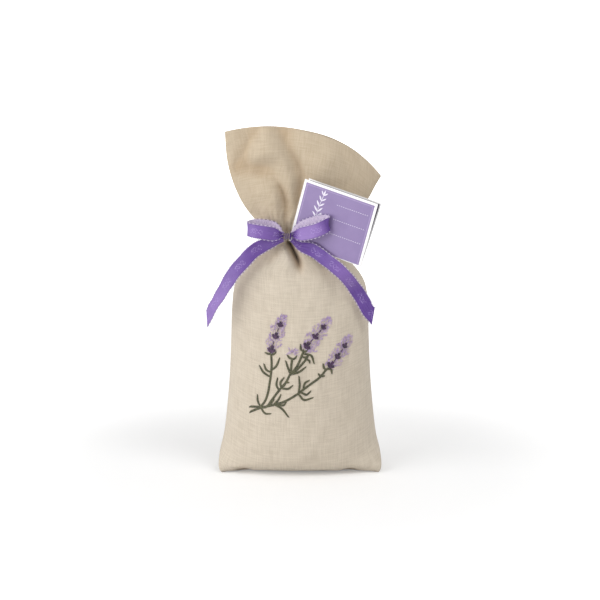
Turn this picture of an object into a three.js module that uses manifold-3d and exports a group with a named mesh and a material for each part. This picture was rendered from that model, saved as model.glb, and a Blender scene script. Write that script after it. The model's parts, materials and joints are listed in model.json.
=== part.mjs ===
// A linen lavender sachet: a sewn pouch stuffed with dried lavender and gathered and tied at the neck. A satin
// bow is bound on the front of the tie, which also holds a folded card tag, and the front panel has an
// embroidered posy.
// Millimetres. +Z is up, the front faces -Y, and the origin is the middle of the base, on the table.
import * as THREE from "three";
import { mergeVertices } from "three/addons/utils/BufferGeometryUtils.js";
import Module from "manifold-3d";

const wasm = await Module();
wasm.setup();

// Driving dimensions of the pouch
const bodyWidth = 80; // across the bottom corners
const bodyDepth = 36; // front to back at the fullest
const seamSetback = 3; // the side seams lie this far behind the middle
const cornerCurl = 5; // the bottom corners curl this far forward
const tieHeight = 117.5; // from the table to the tie
const tieLeft = 5.9; // the neck stands this far left of the middle
const neckWidth = 21;
const neckDepth = 12;
const mouthWidth = 77.4; // corner to corner of the mouth
const mouthShift = 1.5; // the mouth's middle stands right of the body's
const mouthDrop = 21; // its right corner is lower than its left one
const mouthRise = 11.2; // its edge arches over a straight line between the corners
const flareHeight = 48.3; // from the tie up to the left corner of the mouth
const linenThickness = 0.6;
const seamGap = 0.3; // between the sewn edges of the two panels
const seatGap = 0.3; // between other pieces that touch
const fillingTopShare = 0.8; // the filling reaches this much of the way up to the tie
const foldSpread = 4.4; // from the middle of a usual crease to where it has mostly faded
const foldDepth = 4; // of a deep crease

// The bow
const ribbonWidth = 7;
const ribbonThickness = 0.35;
const knotStand = 13; // from the middle of the neck forward to the middle of the bow
const pinchLength = 3.6;
const pinchRadius = 1.35;
const bindingWire = 0.5;
const bindingTurns = 2;
const bindingPitch = 1;
const bindingEnd = 4; // the wire's free end hangs this far below the bow
const leftLoopReach = 18.9;
const rightLoopReach = 19.4;
const leftTailReach = 38.6;
const leftTailDrop = 40;
const rightTailReach = 41;
const rightTailDrop = 39;
const tailCut = 6; // along the ribbon, from one corner of its slanting end to the other
const leftTailRoll = 50; // degrees that the left tail has turned to the left at its end

// The tie and the tag
const tieWire = 0.9;
const tagWidth = 37.6;
const tagHeight = 30.7;
const cardThickness = 0.35;
const leafGap = 0.35; // between the leaves where the card is folded flat
const holeRadius = 1.75;
const holeInset = 3.4; // from the fold and from the left edge
const tagTurn = 22.1; // degrees that the tag faces left
const tagTilt = 2.3; // degrees that its face leans down
const tagRoll = 16.3; // degrees that its right side hangs lower
const tagOpening = 9; // degrees between the leaves
const tagStand = 9.3; // from the middle of the neck forward to the tag's hole
const holeShift = 4.8; // from the middle of the neck right to the tag's hole

// The posy
const posyHeight = 44;
const posyLeft = 19.2; // its crossing stems stand this far left of the middle
const posyUp = 35;
const flossHeight = 0.6;
const stemWidth = 1.2;
const leafWidth = 1.3;
const blossomWidth = 5.8;
const blossomHeight = 0.9;
const budWidth = 2.6;

const front = -1;
const back = 1;

const linen = new THREE.MeshStandardMaterial({ color: 0xdccfb8, roughness: 0.95, metalness: 0 });
const lavender = new THREE.MeshStandardMaterial({ color: 0x6d6387, roughness: 1, metalness: 0 });
const satin = new THREE.MeshStandardMaterial({ color: 0x6f43b0, roughness: 0.35, metalness: 0 });
const thread = new THREE.MeshStandardMaterial({ color: 0x77786a, roughness: 0.7, metalness: 0 });
const card = new THREE.MeshStandardMaterial({ color: 0xa995cf, roughness: 0.6, metalness: 0 });
const greenFloss = new THREE.MeshStandardMaterial({ color: 0x4e5a38, roughness: 0.6, metalness: 0 });
const lilacFloss = new THREE.MeshStandardMaterial({ color: 0xb79ad6, roughness: 0.5, metalness: 0 });
const plumFloss = new THREE.MeshStandardMaterial({ color: 0x45264f, roughness: 0.5, metalness: 0 });

const vec = (x, y, z) => new THREE.Vector3(x, y, z);
const { clamp, degToRad, lerp, smoothstep } = THREE.MathUtils;
const bell = (distance, spread) => Math.exp(-((distance / spread) ** 2));
// A bell with a sharper tip
const notch = (distance, spread) => Math.exp(-(Math.abs(distance / spread) ** 1.6));

// Helpers that close a mesh

function meshFrom(points, triangles) {
  const geometry = new THREE.BufferGeometry();
  geometry.setAttribute("position", new THREE.Float32BufferAttribute(points.flatMap((p) => p.toArray()), 3));
  let volume = 0;
  for (const [a, b, c] of triangles) {
    volume += points[a].dot(vec(0, 0, 0).crossVectors(points[b], points[c]));
  }
  const outward = volume > 0 ? triangles : triangles.map(([a, b, c]) => [a, c, b]);
  geometry.setIndex(outward.flat());
  return geometry;
}

// A thin sheet between two grids of points with the same rows and columns, closed round its four edges. Each
// cell is split along its shorter diagonal, which follows the folds.
function slab(outer, inner) {
  const rows = outer.length;
  const columns = outer[0].length;
  const points = [...outer.flat(), ...inner.flat()];
  const layer = rows * columns;
  const triangles = [];
  const quad = (a, b, c, d) => {
    const shorter = points[a].distanceTo(points[c]) <= points[b].distanceTo(points[d]);
    triangles.push(...(shorter ? [[a, b, c], [a, c, d]] : [[a, b, d], [b, c, d]]));
  };
  for (let i = 0; i < rows - 1; i++) {
    for (let j = 0; j < columns - 1; j++) {
      const corner = i * columns + j;
      quad(corner, corner + 1, corner + columns + 1, corner + columns);
      const under = corner + layer;
      quad(under, under + columns, under + columns + 1, under + 1);
    }
  }
  const border = [];
  for (let j = 0; j < columns - 1; j++) border.push(j);
  for (let i = 0; i < rows - 1; i++) border.push(i * columns + columns - 1);
  for (let j = columns - 1; j > 0; j--) border.push((rows - 1) * columns + j);
  for (let i = rows - 1; i > 0; i--) border.push(i * columns);
  border.forEach((here, k) => {
    const next = border[(k + 1) % border.length];
    quad(next, here, here + layer, next + layer);
  });
  return meshFrom(points, triangles);
}

// A solid through rings with the same number of points, closed by a fan at each end or joined end to end
function loft(rings, endless = false) {
  const sides = rings[0].length;
  const points = rings.flat();
  const triangles = [];
  const joins = endless ? rings.length : rings.length - 1;
  for (let i = 0; i < joins; i++) {
    const here = i * sides;
    const there = ((i + 1) % rings.length) * sides;
    for (let j = 0; j < sides; j++) {
      const next = (j + 1) % sides;
      triangles.push([here + j, here + next, there + next], [here + j, there + next, there + j]);
    }
  }
  if (!endless) {
    const middleOf = (ring) => ring.reduce((sum, p) => sum.add(p), vec(0, 0, 0)).divideScalar(sides);
    const last = (rings.length - 1) * sides;
    points.push(middleOf(rings[0]), middleOf(rings[rings.length - 1]));
    for (let j = 0; j < sides; j++) {
      const next = (j + 1) % sides;
      triangles.push([next, j, points.length - 2], [last + j, last + next, points.length - 1]);
    }
  }
  return meshFrom(points, triangles);
}

function circle(center, along, across, radius, sides) {
  return Array.from({ length: sides }, (_, k) => {
    const turn = (2 * Math.PI * k) / sides;
    const spoke = along.clone().multiplyScalar(Math.cos(turn)).addScaledVector(across, Math.sin(turn));
    return spoke.multiplyScalar(radius).add(center);
  });
}

// A round wire along a curve
function wire(curve, diameter, steps, sides, endless = false) {
  const { normals, binormals } = curve.computeFrenetFrames(steps, endless);
  const count = endless ? steps : steps + 1;
  const rings = Array.from({ length: count }, (_, k) =>
    circle(curve.getPointAt(k / steps), normals[k], binormals[k], diameter / 2, sides),
  );
  return loft(rings, endless);
}

// A smooth curve through one column of a table, read at a row number that need not be whole
function smooth(table, column, at) {
  const last = table.length - 1;
  const k = clamp(Math.floor(at), 0, last - 1);
  const value = (i) => table[clamp(i, 0, last)][column];
  const f = at - k;
  const [a, b, c, d] = [value(k - 1), value(k), value(k + 1), value(k + 2)];
  return b + 0.5 * f * (c - a + f * (2 * a - 5 * b + 4 * c - d + f * (3 * (b - c) + d - a)));
}

// The pouch is read by a row number, from 0 at the bottom seam to the mouth, and by a place across each row,
// from -1 at the left seam to 1 at the right one.

// Rows of the body: half width, height of the side seams, sideways lean to the neck, height of the middle, depth
const bodyShares = [
  [0.975, 0, 0, 0, 0],
  [0.995, 0.012, 0, -0.002, 0.3],
  [1.0, 0.04, 0, 0.012, 0.58],
  [0.985, 0.087, 0, 0.038, 0.82],
  [0.94, 0.15, 0, 0.088, 0.95],
  [0.902, 0.25, 0, 0.183, 1.0],
  [0.863, 0.4, 0, 0.335, 1.01],
  [0.84, 0.56, 0, 0.505, 0.97],
  [0.826, 0.69, 0, 0.645, 0.89],
  [0.785, 0.795, 0, 0.765, 0.79],
  [0.655, 0.87, 0.1, 0.858, 0.7],
  [0.49, 0.932, 0.5, 0.93, 0.6],
  [0.33, 0.975, 0.85, 0.975, 0.44],
];
// Rows of the flare above the tie: how far each seam has gone out and up to its corner of the mouth, the arch of
// the middle, and the depth
const flareShares = [
  [0, 0, 0, 0, 0, 1.0],
  [0.27, 0.133, 0.17, 0.09, 0.22, 1.1],
  [0.49, 0.245, 0.42, 0.2, 0.42, 1.15],
  [0.67, 0.37, 0.65, 0.36, 0.6, 1.1],
  [0.85, 0.555, 0.82, 0.6, 0.74, 1.0],
  [0.96, 0.755, 0.92, 0.83, 0.87, 0.82],
  [1.0, 1.0, 1.0, 1.0, 1.0, 0.56],
];
const archSkewShare = 0.3; // the mouth's arch is fuller on its right
const tieRow = bodyShares.length;
const mouthRow = tieRow + flareShares.length - 1;

const halfBody = bodyWidth / 2;
const halfNeck = neckWidth / 2;
const halfMouth = Math.sqrt((mouthWidth / 2) ** 2 - (mouthDrop / 2) ** 2);
const pouchRows = [
  ...bodyShares.map(([wide, seamUp, lean, middleUp, deep]) => [
    -tieLeft * lean - halfBody * wide,
    tieHeight * seamUp,
    -tieLeft * lean + halfBody * wide,
    tieHeight * seamUp,
    tieHeight * (middleUp - seamUp),
    (bodyDepth / 2) * deep,
  ]),
  ...flareShares.map(([leftOut, leftUp, rightOut, rightUp, arch, deep]) => [
    lerp(-tieLeft - halfNeck, mouthShift - halfMouth, leftOut),
    tieHeight + flareHeight * leftUp,
    lerp(-tieLeft + halfNeck, mouthShift + halfMouth, rightOut),
    tieHeight + (flareHeight - mouthDrop) * rightUp,
    mouthRise * arch,
    (neckDepth / 2) * deep,
  ]),
];

function pouchRow(at) {
  const [leftX, leftZ, rightX, rightZ, rise, depth] = pouchRows[0].map((_, k) => smooth(pouchRows, k, at));
  return { leftX, leftZ, rightX, rightZ, rise, depth };
}

// Creases and ridges, from the tie on: spread and depth as shares of foldSpread and foldDepth, then across and
// row of each point on the way. A ridge has a negative depth.
const frontCreaseShares = [
  [0.8, 1.35, [0.02, 12.4], [0.01, 13.1], [-0.11, 14.2], [-0.22, 15.2], [-0.3, 15.9], [-0.37, 16.5]],
  [1.9, 0.9, [-0.3, 15.8], [-0.4, 16.45], [-0.56, 16.8], [-0.72, 17.0]],
  [1.1, 0.95, [0.1, 12.5], [0.06, 13.8], [0.0, 15.9], [0.03, 16.6], [-0.01, 17.1], [-0.21, 18.9]],
  [1.1, 0.7, [-0.9, 15.4], [-0.88, 16.8], [-0.8, 17.6], [-0.68, 19.0]],
  [0.9, -0.45, [0.03, 12.8], [-0.03, 14.6], [-0.16, 16.5], [-0.33, 18.6]],
  [1.2, -0.75, [-0.14, 12.8], [-0.34, 14.6], [-0.5, 15.6], [-0.6, 16.4]],
  [1.3, 0.4, [0.4, 12.8], [0.6, 15.5], [0.7, 17.3], [0.5, 18.6]],
  [0.55, 0.95, [0.02, 12.6], [-0.05, 11.8], [0.01, 11.2], [0.05, 9.9]],
  [0.8, 0.5, [-0.12, 12.5], [-0.25, 11.6], [-0.6, 10.2]],
  [0.8, 0.3, [-0.75, 12.5], [-0.8, 9.8]],
  [0.9, 0.4, [0.5, 12.6], [0.46, 9.4]],
  [0.8, 0.35, [0.82, 12.6], [0.7, 9.6]],
  [1.2, -0.4, [-0.2, 12.2], [-0.14, 9.9]],
];
const backCreaseShares = [
  [0.9, 0.9, [0.05, 12.5], [0.03, 14.6], [0.16, 17.4]],
  [1.0, 0.75, [-0.5, 12.5], [-0.42, 15.0], [-0.5, 17.6]],
  [1.0, 0.65, [0.6, 12.5], [0.5, 15.4], [0.58, 18.2]],
  [1.2, -0.5, [-0.22, 12.5], [-0.1, 15.6], [-0.16, 18.4]],
  [1.2, -0.4, [0.36, 12.5], [0.3, 15.2], [0.38, 18.2]],
  [0.8, 0.8, [-0.06, 12.6], [-0.02, 11.2], [-0.1, 9.4]],
  [1.0, 0.5, [0.45, 12.6], [0.4, 9.0]],
  [1.0, 0.5, [-0.58, 12.6], [-0.5, 9.2]],
];
// Dents, and puffs with a negative depth: across, row, spread, rows that it spreads over, depth
const frontDentShares = [
  [-0.52, 17.9, 2.5, 1.0, -1.3],
  [0.31, 17.5, 3.4, 1.3, -0.8],
  [-0.62, 1.6, 1.1, 1.0, 0.6],
  [0.55, 1.6, 1.1, 1.0, 0.6],
];
const backDentShares = [
  [0.1, 16.8, 3.2, 1.0, -0.6],
  [-0.5, 1.8, 1.2, 1.0, 0.5],
  [0.52, 1.8, 1.2, 1.0, 0.5],
];

// The place across a row where a crease passes it
function creaseAt(way, row) {
  const upward = way[0][1] < way.at(-1)[1] ? way : way.toReversed();
  const next = upward.findIndex(([, pointRow]) => pointRow > row);
  if (next === 0) return upward[0][0];
  if (next < 0) return upward.at(-1)[0];
  const [[from, fromRow], [to, toRow]] = [upward[next - 1], upward[next]];
  return lerp(from, to, (row - fromRow) / (toRow - fromRow));
}

function pressedIn(across, at, halfRow, side) {
  let depth = 0;
  for (const [spread, deep, ...way] of side === front ? frontCreaseShares : backCreaseShares) {
    const run = (at - way[0][1]) / (way.at(-1)[1] - way[0][1]);
    const fade = smoothstep(run, -0.12, 0.12) * (1 - smoothstep(run, 0.7, 1.06));
    const profile = deep > 0 ? notch : bell;
    depth += foldDepth * deep * fade * profile((across - creaseAt(way, at)) * halfRow, foldSpread * spread);
  }
  for (const [dentAcross, dentRow, spread, rows, deep] of side === front ? frontDentShares : backDentShares) {
    const near = bell((across - dentAcross) * halfRow, foldSpread * spread);
    depth += foldDepth * deep * near * bell(at - dentRow, rows);
  }
  return depth;
}

// The surface on which the two panels meet lies behind the middle, except at the bottom corners
function seamBehind(x, z) {
  const up = z / tieHeight;
  const behind = seamSetback * smoothstep(up, 0, 0.09) * (1 - smoothstep(up, 0.24, 0.82));
  return behind - cornerCurl * (x / halfBody) ** 4 * (1 - smoothstep(up, 0.01, 0.13));
}

function pouchPoint(across, at, side) {
  const row = pouchRow(at);
  const blend = (across + 1) / 2;
  const inward = 1 - across * across;
  const archPower = lerp(4, 1.2, smoothstep(at, 1, 6));
  const skew = 1 + archSkewShare * across * smoothstep(at, tieRow, mouthRow);
  const arch = (1 - Math.abs(across) ** (2 * archPower)) * skew;
  const roundness = lerp(0.56, 0.5, smoothstep(at, 9, tieRow));
  const x = lerp(row.leftX, row.rightX, blend);
  const z = Math.max(0, lerp(row.leftZ, row.rightZ, blend) + row.rise * arch);
  const seam = seamBehind(x, z);
  const fuller = 1 - (side * 2 * seamBehind(0, z)) / bodyDepth;
  const swell = row.depth * fuller * Math.max(inward, 0) ** roundness;
  const halfRow = (row.rightX - row.leftX) / 2;
  const pressed = swell - pressedIn(across, at, halfRow, side) * smoothstep(inward, 0, 0.4);
  const least = Math.min(swell, 2 * linenThickness);
  return vec(x, seam + side * (seamGap / 2 + Math.max(pressed, least)), z);
}

// Points straight out of the cloth
function pouchNormal(across, at, side) {
  const step = 0.01;
  const a = clamp(across, -1 + 2 * step, 1 - 2 * step);
  const r = clamp(at, step, mouthRow - step);
  const sideways = pouchPoint(a + step, r, side).sub(pouchPoint(a - step, r, side));
  const upward = pouchPoint(a, r + step, side).sub(pouchPoint(a, r - step, side));
  return sideways.cross(upward).multiplyScalar(-side).normalize();
}

// The same point pushed into the pouch, never past the seam
function insetPoint(across, at, side, inset) {
  const inside = pouchPoint(across, at, side).addScaledVector(pouchNormal(across, at, side), -inset);
  const seam = seamBehind(inside.x, inside.z) + (side * seamGap) / 2;
  inside.y = side === front ? Math.min(inside.y, seam) : Math.max(inside.y, seam);
  return inside;
}

const panelCells = 26;
const acrossSteps = Array.from({ length: panelCells + 1 }, (_, k) => {
  const even = (2 * k) / panelCells - 1;
  return lerp(even, Math.sin((even * Math.PI) / 2), 0.65);
});
// More of the cells up the panel lie above the tie than its height asks, and one row of points is at the tie
const bodyCells = 15;
const gatheredRows = 0.9; // the gathered cloth fills the neck this many rows above and below the tie
const rowSteps = Array.from({ length: panelCells + 1 }, (_, k) =>
  k < bodyCells
    ? (tieRow * k) / bodyCells
    : lerp(tieRow, mouthRow, (k - bodyCells) / (panelCells - bodyCells)),
);

// A panel of the cloth. The tie gathers it until it fills the neck, so there its inner side lies at the seam.
function panel(side) {
  const outer = rowSteps.map((at) => acrossSteps.map((across) => pouchPoint(across, at, side)));
  const inner = rowSteps.map((at) =>
    acrossSteps.map((across) => {
      const point = insetPoint(across, at, side, linenThickness);
      const seam = seamBehind(point.x, point.z) + (side * seamGap) / 2;
      point.y = lerp(point.y, seam, bell(at - tieRow, gatheredRows));
      return point;
    }),
  );
  return slab(outer, inner);
}

// The filling keeps off the cloth by the seat gap and by what the cloth's facets cut off its curve
function filling() {
  const inset = 2 * linenThickness + seatGap;
  const topRow = tieRow * fillingTopShare;
  const rings = [];
  const places = acrossSteps.filter((_, k) => k % 2 === 1);
  for (const at of rowSteps.filter((row) => row > 0 && row < topRow)) {
    rings.push([
      ...places.map((across) => insetPoint(across, at, front, inset)),
      ...places.toReversed().map((across) => insetPoint(across, at, back, inset)),
    ]);
  }
  return loft(rings);
}

// Ribbon, gathered narrow and cupped where it enters the pinch. Each table row says how far out from the pinch
// the ribbon has gone to its reach, then how far forward and up or down, as shares of the reach and the drop.
const leftLoopShares = [
  [0, 0.03, 0.048],
  [0.06, 0.045, 0.05],
  [0.185, 0.14, 0.065],
  [0.45, 0.23, 0.11],
  [0.75, 0.22, 0.15],
  [0.945, 0.14, 0.18],
  [1, 0.04, 0.2],
  [0.917, -0.06, 0.23],
  [0.66, -0.13, 0.24],
  [0.363, -0.14, 0.2],
  [0.155, -0.09, 0.13],
  [0.05, -0.045, 0.072],
  [0, -0.03, 0.055],
];
const rightLoopShares = [
  [0, 0.03, 0.048],
  [0.06, 0.045, 0.05],
  [0.177, 0.15, 0.065],
  [0.425, 0.28, 0.12],
  [0.7, 0.36, 0.2],
  [0.906, 0.35, 0.29],
  [1, 0.27, 0.35],
  [0.928, 0.19, 0.38],
  [0.674, 0.11, 0.34],
  [0.398, 0.02, 0.25],
  [0.177, -0.03, 0.14],
  [0.05, -0.028, 0.072],
  [0, -0.03, 0.055],
];
const leftTailShares = [
  [0, 0.01, 0.0375],
  [0.26, 0, 0.11],
  [0.39, 0.013, 0.18],
  [0.52, 0.013, 0.305],
  [0.635, 0, 0.425],
  [0.725, -0.013, 0.555],
  [0.825, -0.026, 0.71],
  [0.93, -0.04, 0.87],
  [1, -0.052, 1],
];
const rightTailShares = [
  [0, 0.01, 0.0375],
  [0.11, 0, 0.12],
  [0.255, 0.032, 0.164],
  [0.405, 0.083, 0.264],
  [0.53, 0.127, 0.355],
  [0.65, 0.122, 0.47],
  [0.755, 0.05, 0.61],
  [0.857, -0.025, 0.77],
  [0.938, -0.06, 0.92],
  [1, -0.085, 1],
];

const pleatShare = 0.09; // of the pinch's radius, each way
const knot = vec(-tieLeft, -knotStand, tieHeight);
const pinchFace = pinchLength / 2 + 1.3 * seatGap;

function ribbonPath(shares, direction, reach, rise) {
  return new THREE.CatmullRomCurve3(
    shares.map(([out, forward, up]) =>
      vec(direction * lerp(pinchFace, reach, out), -reach * forward, rise * up).add(knot),
    ),
    false,
    "centripetal",
  );
}

// A strip along a curve. facing(share) is the way its face looks there, and gathered says at which of its ends
// it is drawn together.
function ribbon(curve, steps, facing, gathered, cut = 0) {
  const gatherLength = ribbonWidth * 1.1;
  const length = curve.getLength();
  const lanes = [-1, -0.5, 0, 0.5, 1];
  const outer = [];
  const inner = [];
  for (let k = 0; k <= steps; k++) {
    const share = k / steps;
    const tangent = curve.getTangentAt(share);
    const face = facing(share, tangent);
    const across = vec(0, 0, 0).crossVectors(tangent, face).normalize();
    face.crossVectors(across, tangent).normalize();
    const fromEnd = Math.min(gathered.start ? share : 1, gathered.end ? 1 - share : 1) * length;
    const open = smoothstep(fromEnd, -gatherLength / 4, gatherLength);
    const half = (ribbonWidth / 2) * lerp(0.22, 1, open);
    const cup = ribbonWidth * lerp(0.14, 0.02, open);
    const slant = (cut / 2) * smoothstep(share, 0.8, 1);
    const line = lanes.map((lane) =>
      curve
        .getPointAt(share)
        .addScaledVector(across, half * lane)
        .addScaledVector(face, cup * (1 - lane * lane))
        .addScaledVector(tangent, slant * lane),
    );
    outer.push(line.map((p) => p.clone().addScaledVector(face, ribbonThickness / 2)));
    inner.push(line.map((p) => p.clone().addScaledVector(face, -ribbonThickness / 2)));
  }
  return slab(outer, inner);
}

const bothEnds = { start: true, end: true };
const startOnly = { start: true, end: false };
// A loop stands on its edge, and its face looks into the loop
const intoLoop = (direction) => (share, tangent) =>
  vec(0, 0, 0).crossVectors(tangent, vec(0, 0, -direction));

function loop(shares, direction, reach) {
  return ribbon(ribbonPath(shares, direction, reach, reach), 26, intoLoop(direction), bothEnds);
}

// The gathered middle of the bow, drawn in at the waist where the wire lies
function pinch() {
  const pleats = 7;
  const sides = 4 * pleats;
  const rings = [1, 0.86, 0.6, 0.3, 0, -0.3, -0.6, -0.86, -1].map((place) => {
    const radius = pinchRadius * lerp(1, 1.3, Math.abs(place) ** 6);
    const pleatDepth = pinchRadius * pleatShare * lerp(0.3, 1.5, Math.abs(place) ** 3);
    return Array.from({ length: sides }, (_, k) => {
      const turn = (2 * Math.PI * k) / sides;
      const pleated = radius + pleatDepth * Math.cos(pleats * turn);
      return vec((place * pinchLength) / 2, pleated * Math.cos(turn), pleated * Math.sin(turn)).add(knot);
    });
  });
  return loft(rings);
}

// Turns of wire round the waist, from the back of the pinch to its front, then a free end that hangs there
function bindingCurve() {
  const radius = pinchRadius + pinchRadius * pleatShare + seatGap + bindingWire / 2;
  const stepsPerTurn = 18;
  const turns = bindingTurns + 0.5;
  const points = [];
  for (let k = 0; k <= turns * stepsPerTurn; k++) {
    const turn = (2 * Math.PI * k) / stepsPerTurn - 2 * Math.PI * turns;
    const along = bindingPitch * (turns / 2 - k / stepsPerTurn);
    points.push(vec(along, -radius * Math.cos(turn), -radius * Math.sin(turn)).add(knot));
  }
  const coilEnd = points[points.length - 1];
  for (const drop of [0.3, 0.6, 1]) {
    const down = (radius + bindingEnd) * drop;
    points.push(vec(0, -bindingWire * drop, -down).add(coilEnd));
  }
  return new THREE.CatmullRomCurve3(points, false, "centripetal");
}

// The least distance between two parts of a wire that lie more than half a turn apart, less the wire
function leastGap(curve, diameter, apart) {
  const samples = curve.getSpacedPoints(400);
  const step = curve.getLength() / (samples.length - 1);
  let least = Infinity;
  samples.forEach((here, i) => {
    for (let j = i + Math.ceil(apart / step); j < samples.length; j++) {
      least = Math.min(least, here.distanceTo(samples[j]));
    }
  });
  return least - diameter;
}

// The tie goes round the neck, and its front is drawn forward through the tag's hole to the back of the bow
function tieCurve() {
  const wide = halfNeck + 3 * seatGap + tieWire / 2;
  const deep = neckDepth / 2 + seamGap / 2 + 2 * seatGap + tieWire / 2;
  const bindingBack = pinchRadius * (1 + pleatShare) + seatGap + bindingWire;
  const frontMiddle = vec(0, bindingBack + seatGap + tieWire / 2 - knotStand, 0);
  const onNeck = (degrees) => vec(wide * Math.cos(degToRad(degrees)), deep * Math.sin(degToRad(degrees)), 0);
  const rightSide = [vec(holeShift, -tagStand, 0), onNeck(-50).multiplyScalar(1.04)];
  const round = Array.from({ length: 7 }, (_, k) => onNeck(20 * k - 30));
  const half = [...rightSide, ...round];
  const mirrored = half.slice(0, -1).map((p) => vec(-p.x, p.y, 0)).reverse();
  const points = [frontMiddle, ...half, ...mirrored];
  return new THREE.CatmullRomCurve3(
    points.map((p) => p.add(vec(-tieLeft, 0, tieHeight))),
    true,
    "centripetal",
  );
}

// One leaf of the card lies in its own plane with the hole at the origin and the fold along its lower edge
function leaf() {
  const outline = new THREE.Shape();
  outline.moveTo(-holeInset, -holeInset);
  outline.lineTo(tagWidth - holeInset, -holeInset);
  outline.lineTo(tagWidth - holeInset, tagHeight - holeInset);
  outline.lineTo(-holeInset, tagHeight - holeInset);
  outline.closePath();
  const hole = new THREE.Path();
  hole.absarc(0, 0, holeRadius, 0, 2 * Math.PI, true);
  outline.holes.push(hole);
  return new THREE.ExtrudeGeometry(outline, { depth: cardThickness, bevelEnabled: false, curveSegments: 8 });
}

// The posy follows the front panel. Its tables give places as shares of its height: across and up.
const stemShares = [
  [[0.004, -0.001], [0.055, 0.073], [0.085, 0.158], [0.105, 0.266], [0.12, 0.374], [0.128, 0.483],
    [0.123, 0.606]],
  [[0.024, -0.005], [0.07, 0.011], [0.14, 0.104], [0.217, 0.212], [0.286, 0.297], [0.325, 0.374],
    [0.372, 0.428], [0.418, 0.498], [0.457, 0.591], [0.47, 0.625]],
  [[-0.108, -0.066], [0.004, -0.012], [0.14, 0.034], [0.263, 0.077], [0.41, 0.166], [0.472, 0.212],
    [0.565, 0.282], [0.665, 0.359], [0.705, 0.404], [0.725, 0.422]],
  [[-0.108, -0.008], [-0.054, -0.005], [0.012, -0.001]],
  [[0.364, 0.398], [0.426, 0.459], [0.488, 0.529], [0.522, 0.583]],
  [[0.337, 0.398], [0.344, 0.498], [0.352, 0.548]],
];
const leafShares = [
  [[0.115, 0.347], [0.039, 0.39], [-0.003, 0.459]],
  [[0.12, 0.394], [0.07, 0.421], [0.047, 0.479]],
  [[0.13, 0.428], [0.178, 0.467], [0.217, 0.556]],
  [[0.209, 0.197], [0.182, 0.258], [0.194, 0.336]],
  [[0.232, 0.227], [0.226, 0.289], [0.263, 0.343]],
  [[0.23, 0.226], [0.31, 0.224], [0.356, 0.258]],
  [[0.333, 0.382], [0.302, 0.467], [0.283, 0.529]],
  [[0.364, 0.4], [0.433, 0.413], [0.499, 0.459]],
  [[0.464, 0.606], [0.557, 0.583], [0.588, 0.498]],
  [[0.418, 0.166], [0.432, 0.258], [0.426, 0.359]],
  [[0.468, 0.208], [0.491, 0.282], [0.538, 0.312]],
  [[0.43, 0.181], [0.507, 0.158], [0.553, 0.193]],
  [[0.415, 0.164], [0.48, 0.1], [0.576, 0.123]],
  [[0.72, 0.425], [0.7, 0.444], [0.689, 0.489]],
  [[0.722, 0.42], [0.77, 0.42], [0.781, 0.378]],
  [[-0.003, -0.006], [-0.024, 0.065], [-0.027, 0.131]],
  [[0.012, -0.012], [0.055, -0.066], [0.116, -0.066]],
  [[0.163, 0.038], [0.24, -0.005], [0.31, -0.093]],
  [[0.147, 0.034], [0.201, 0.096], [0.228, 0.15]],
  [[0.085, 0.019], [0.124, 0.057], [0.155, 0.096]],
];
const blossomShares = {
  left: [[0.12, 0.64], [0.136, 0.68], [0.17, 0.792], [0.225, 0.916], [0.267, 1.032]],
  middle: [[0.488, 0.67], [0.526, 0.715], [0.611, 0.8], [0.692, 0.9], [0.766, 0.993]],
  right: [[0.755, 0.46], [0.785, 0.494], [0.843, 0.572], [0.924, 0.68], [0.99, 0.784]],
};

// The row and the place across it where the front panel passes a point of the front view
function onPanel(x, z) {
  let low = 0;
  let high = tieRow;
  let found = [0, 0];
  while (high - low > 0.0001) {
    const at = (low + high) / 2;
    const { leftX, rightX } = pouchRow(at);
    found = [clamp((2 * (x - leftX)) / (rightX - leftX) - 1, -1, 1), at];
    if (pouchPoint(...found, front).z < z) low = at;
    else high = at;
  }
  return found;
}

// Floss laid along a curve on the panel, with its half width as a function of the way along it
function floss(shares, steps, sides, halfWidth, height, lift) {
  const flat = new THREE.CatmullRomCurve3(
    shares.map(([across, up]) => vec(posyHeight * across - posyLeft, 0, posyUp + posyHeight * up)),
  );
  const places = Array.from({ length: steps + 1 }, (_, k) => {
    const { x, z } = flat.getPointAt(k / steps);
    const [across, at] = onPanel(x, z);
    return { point: pouchPoint(across, at, front), out: pouchNormal(across, at, front) };
  });
  const rings = places.map(({ point, out }, k) => {
    const before = places[Math.max(k - 1, 0)].point;
    const after = places[Math.min(k + 1, steps)].point;
    const along = after.clone().sub(before);
    const across = along.cross(out).normalize();
    return Array.from({ length: sides }, (_, j) => {
      const turn = (2 * Math.PI * j) / sides;
      return point
        .clone()
        .addScaledVector(across, halfWidth(k / steps) * Math.cos(turn))
        .addScaledVector(out, lift + (height / 2) * (1 + Math.sin(turn)));
    });
  });
  return loft(rings);
}

function toSolid(geometry) {
  const merged = mergeVertices(geometry);
  return new wasm.Manifold(
    new wasm.Mesh({
      numProp: 3,
      vertProperties: merged.attributes.position.array,
      triVerts: Uint32Array.from(merged.index.array),
    }),
  );
}

function toGeometry(solid) {
  const { vertProperties, triVerts } = solid.getMesh();
  const geometry = new THREE.BufferGeometry();
  geometry.setAttribute("position", new THREE.BufferAttribute(vertProperties, 3));
  geometry.setIndex(new THREE.BufferAttribute(triVerts, 1));
  return geometry;
}

function posyGreen() {
  const stemHalf = () => stemWidth / 2;
  const leafHalf = (share) => (leafWidth / 2) * (0.15 + 0.85 * Math.sin(Math.PI * (0.1 + 0.85 * share)));
  const stems = stemShares.map((shares) => floss(shares, 12, 5, stemHalf, flossHeight, seatGap));
  const leaves = leafShares.map((shares) => floss(shares, 4, 4, leafHalf, flossHeight, seatGap));
  return toGeometry([...stems, ...leaves].map(toSolid).reduce((all, solid) => all.add(solid)));
}

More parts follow.
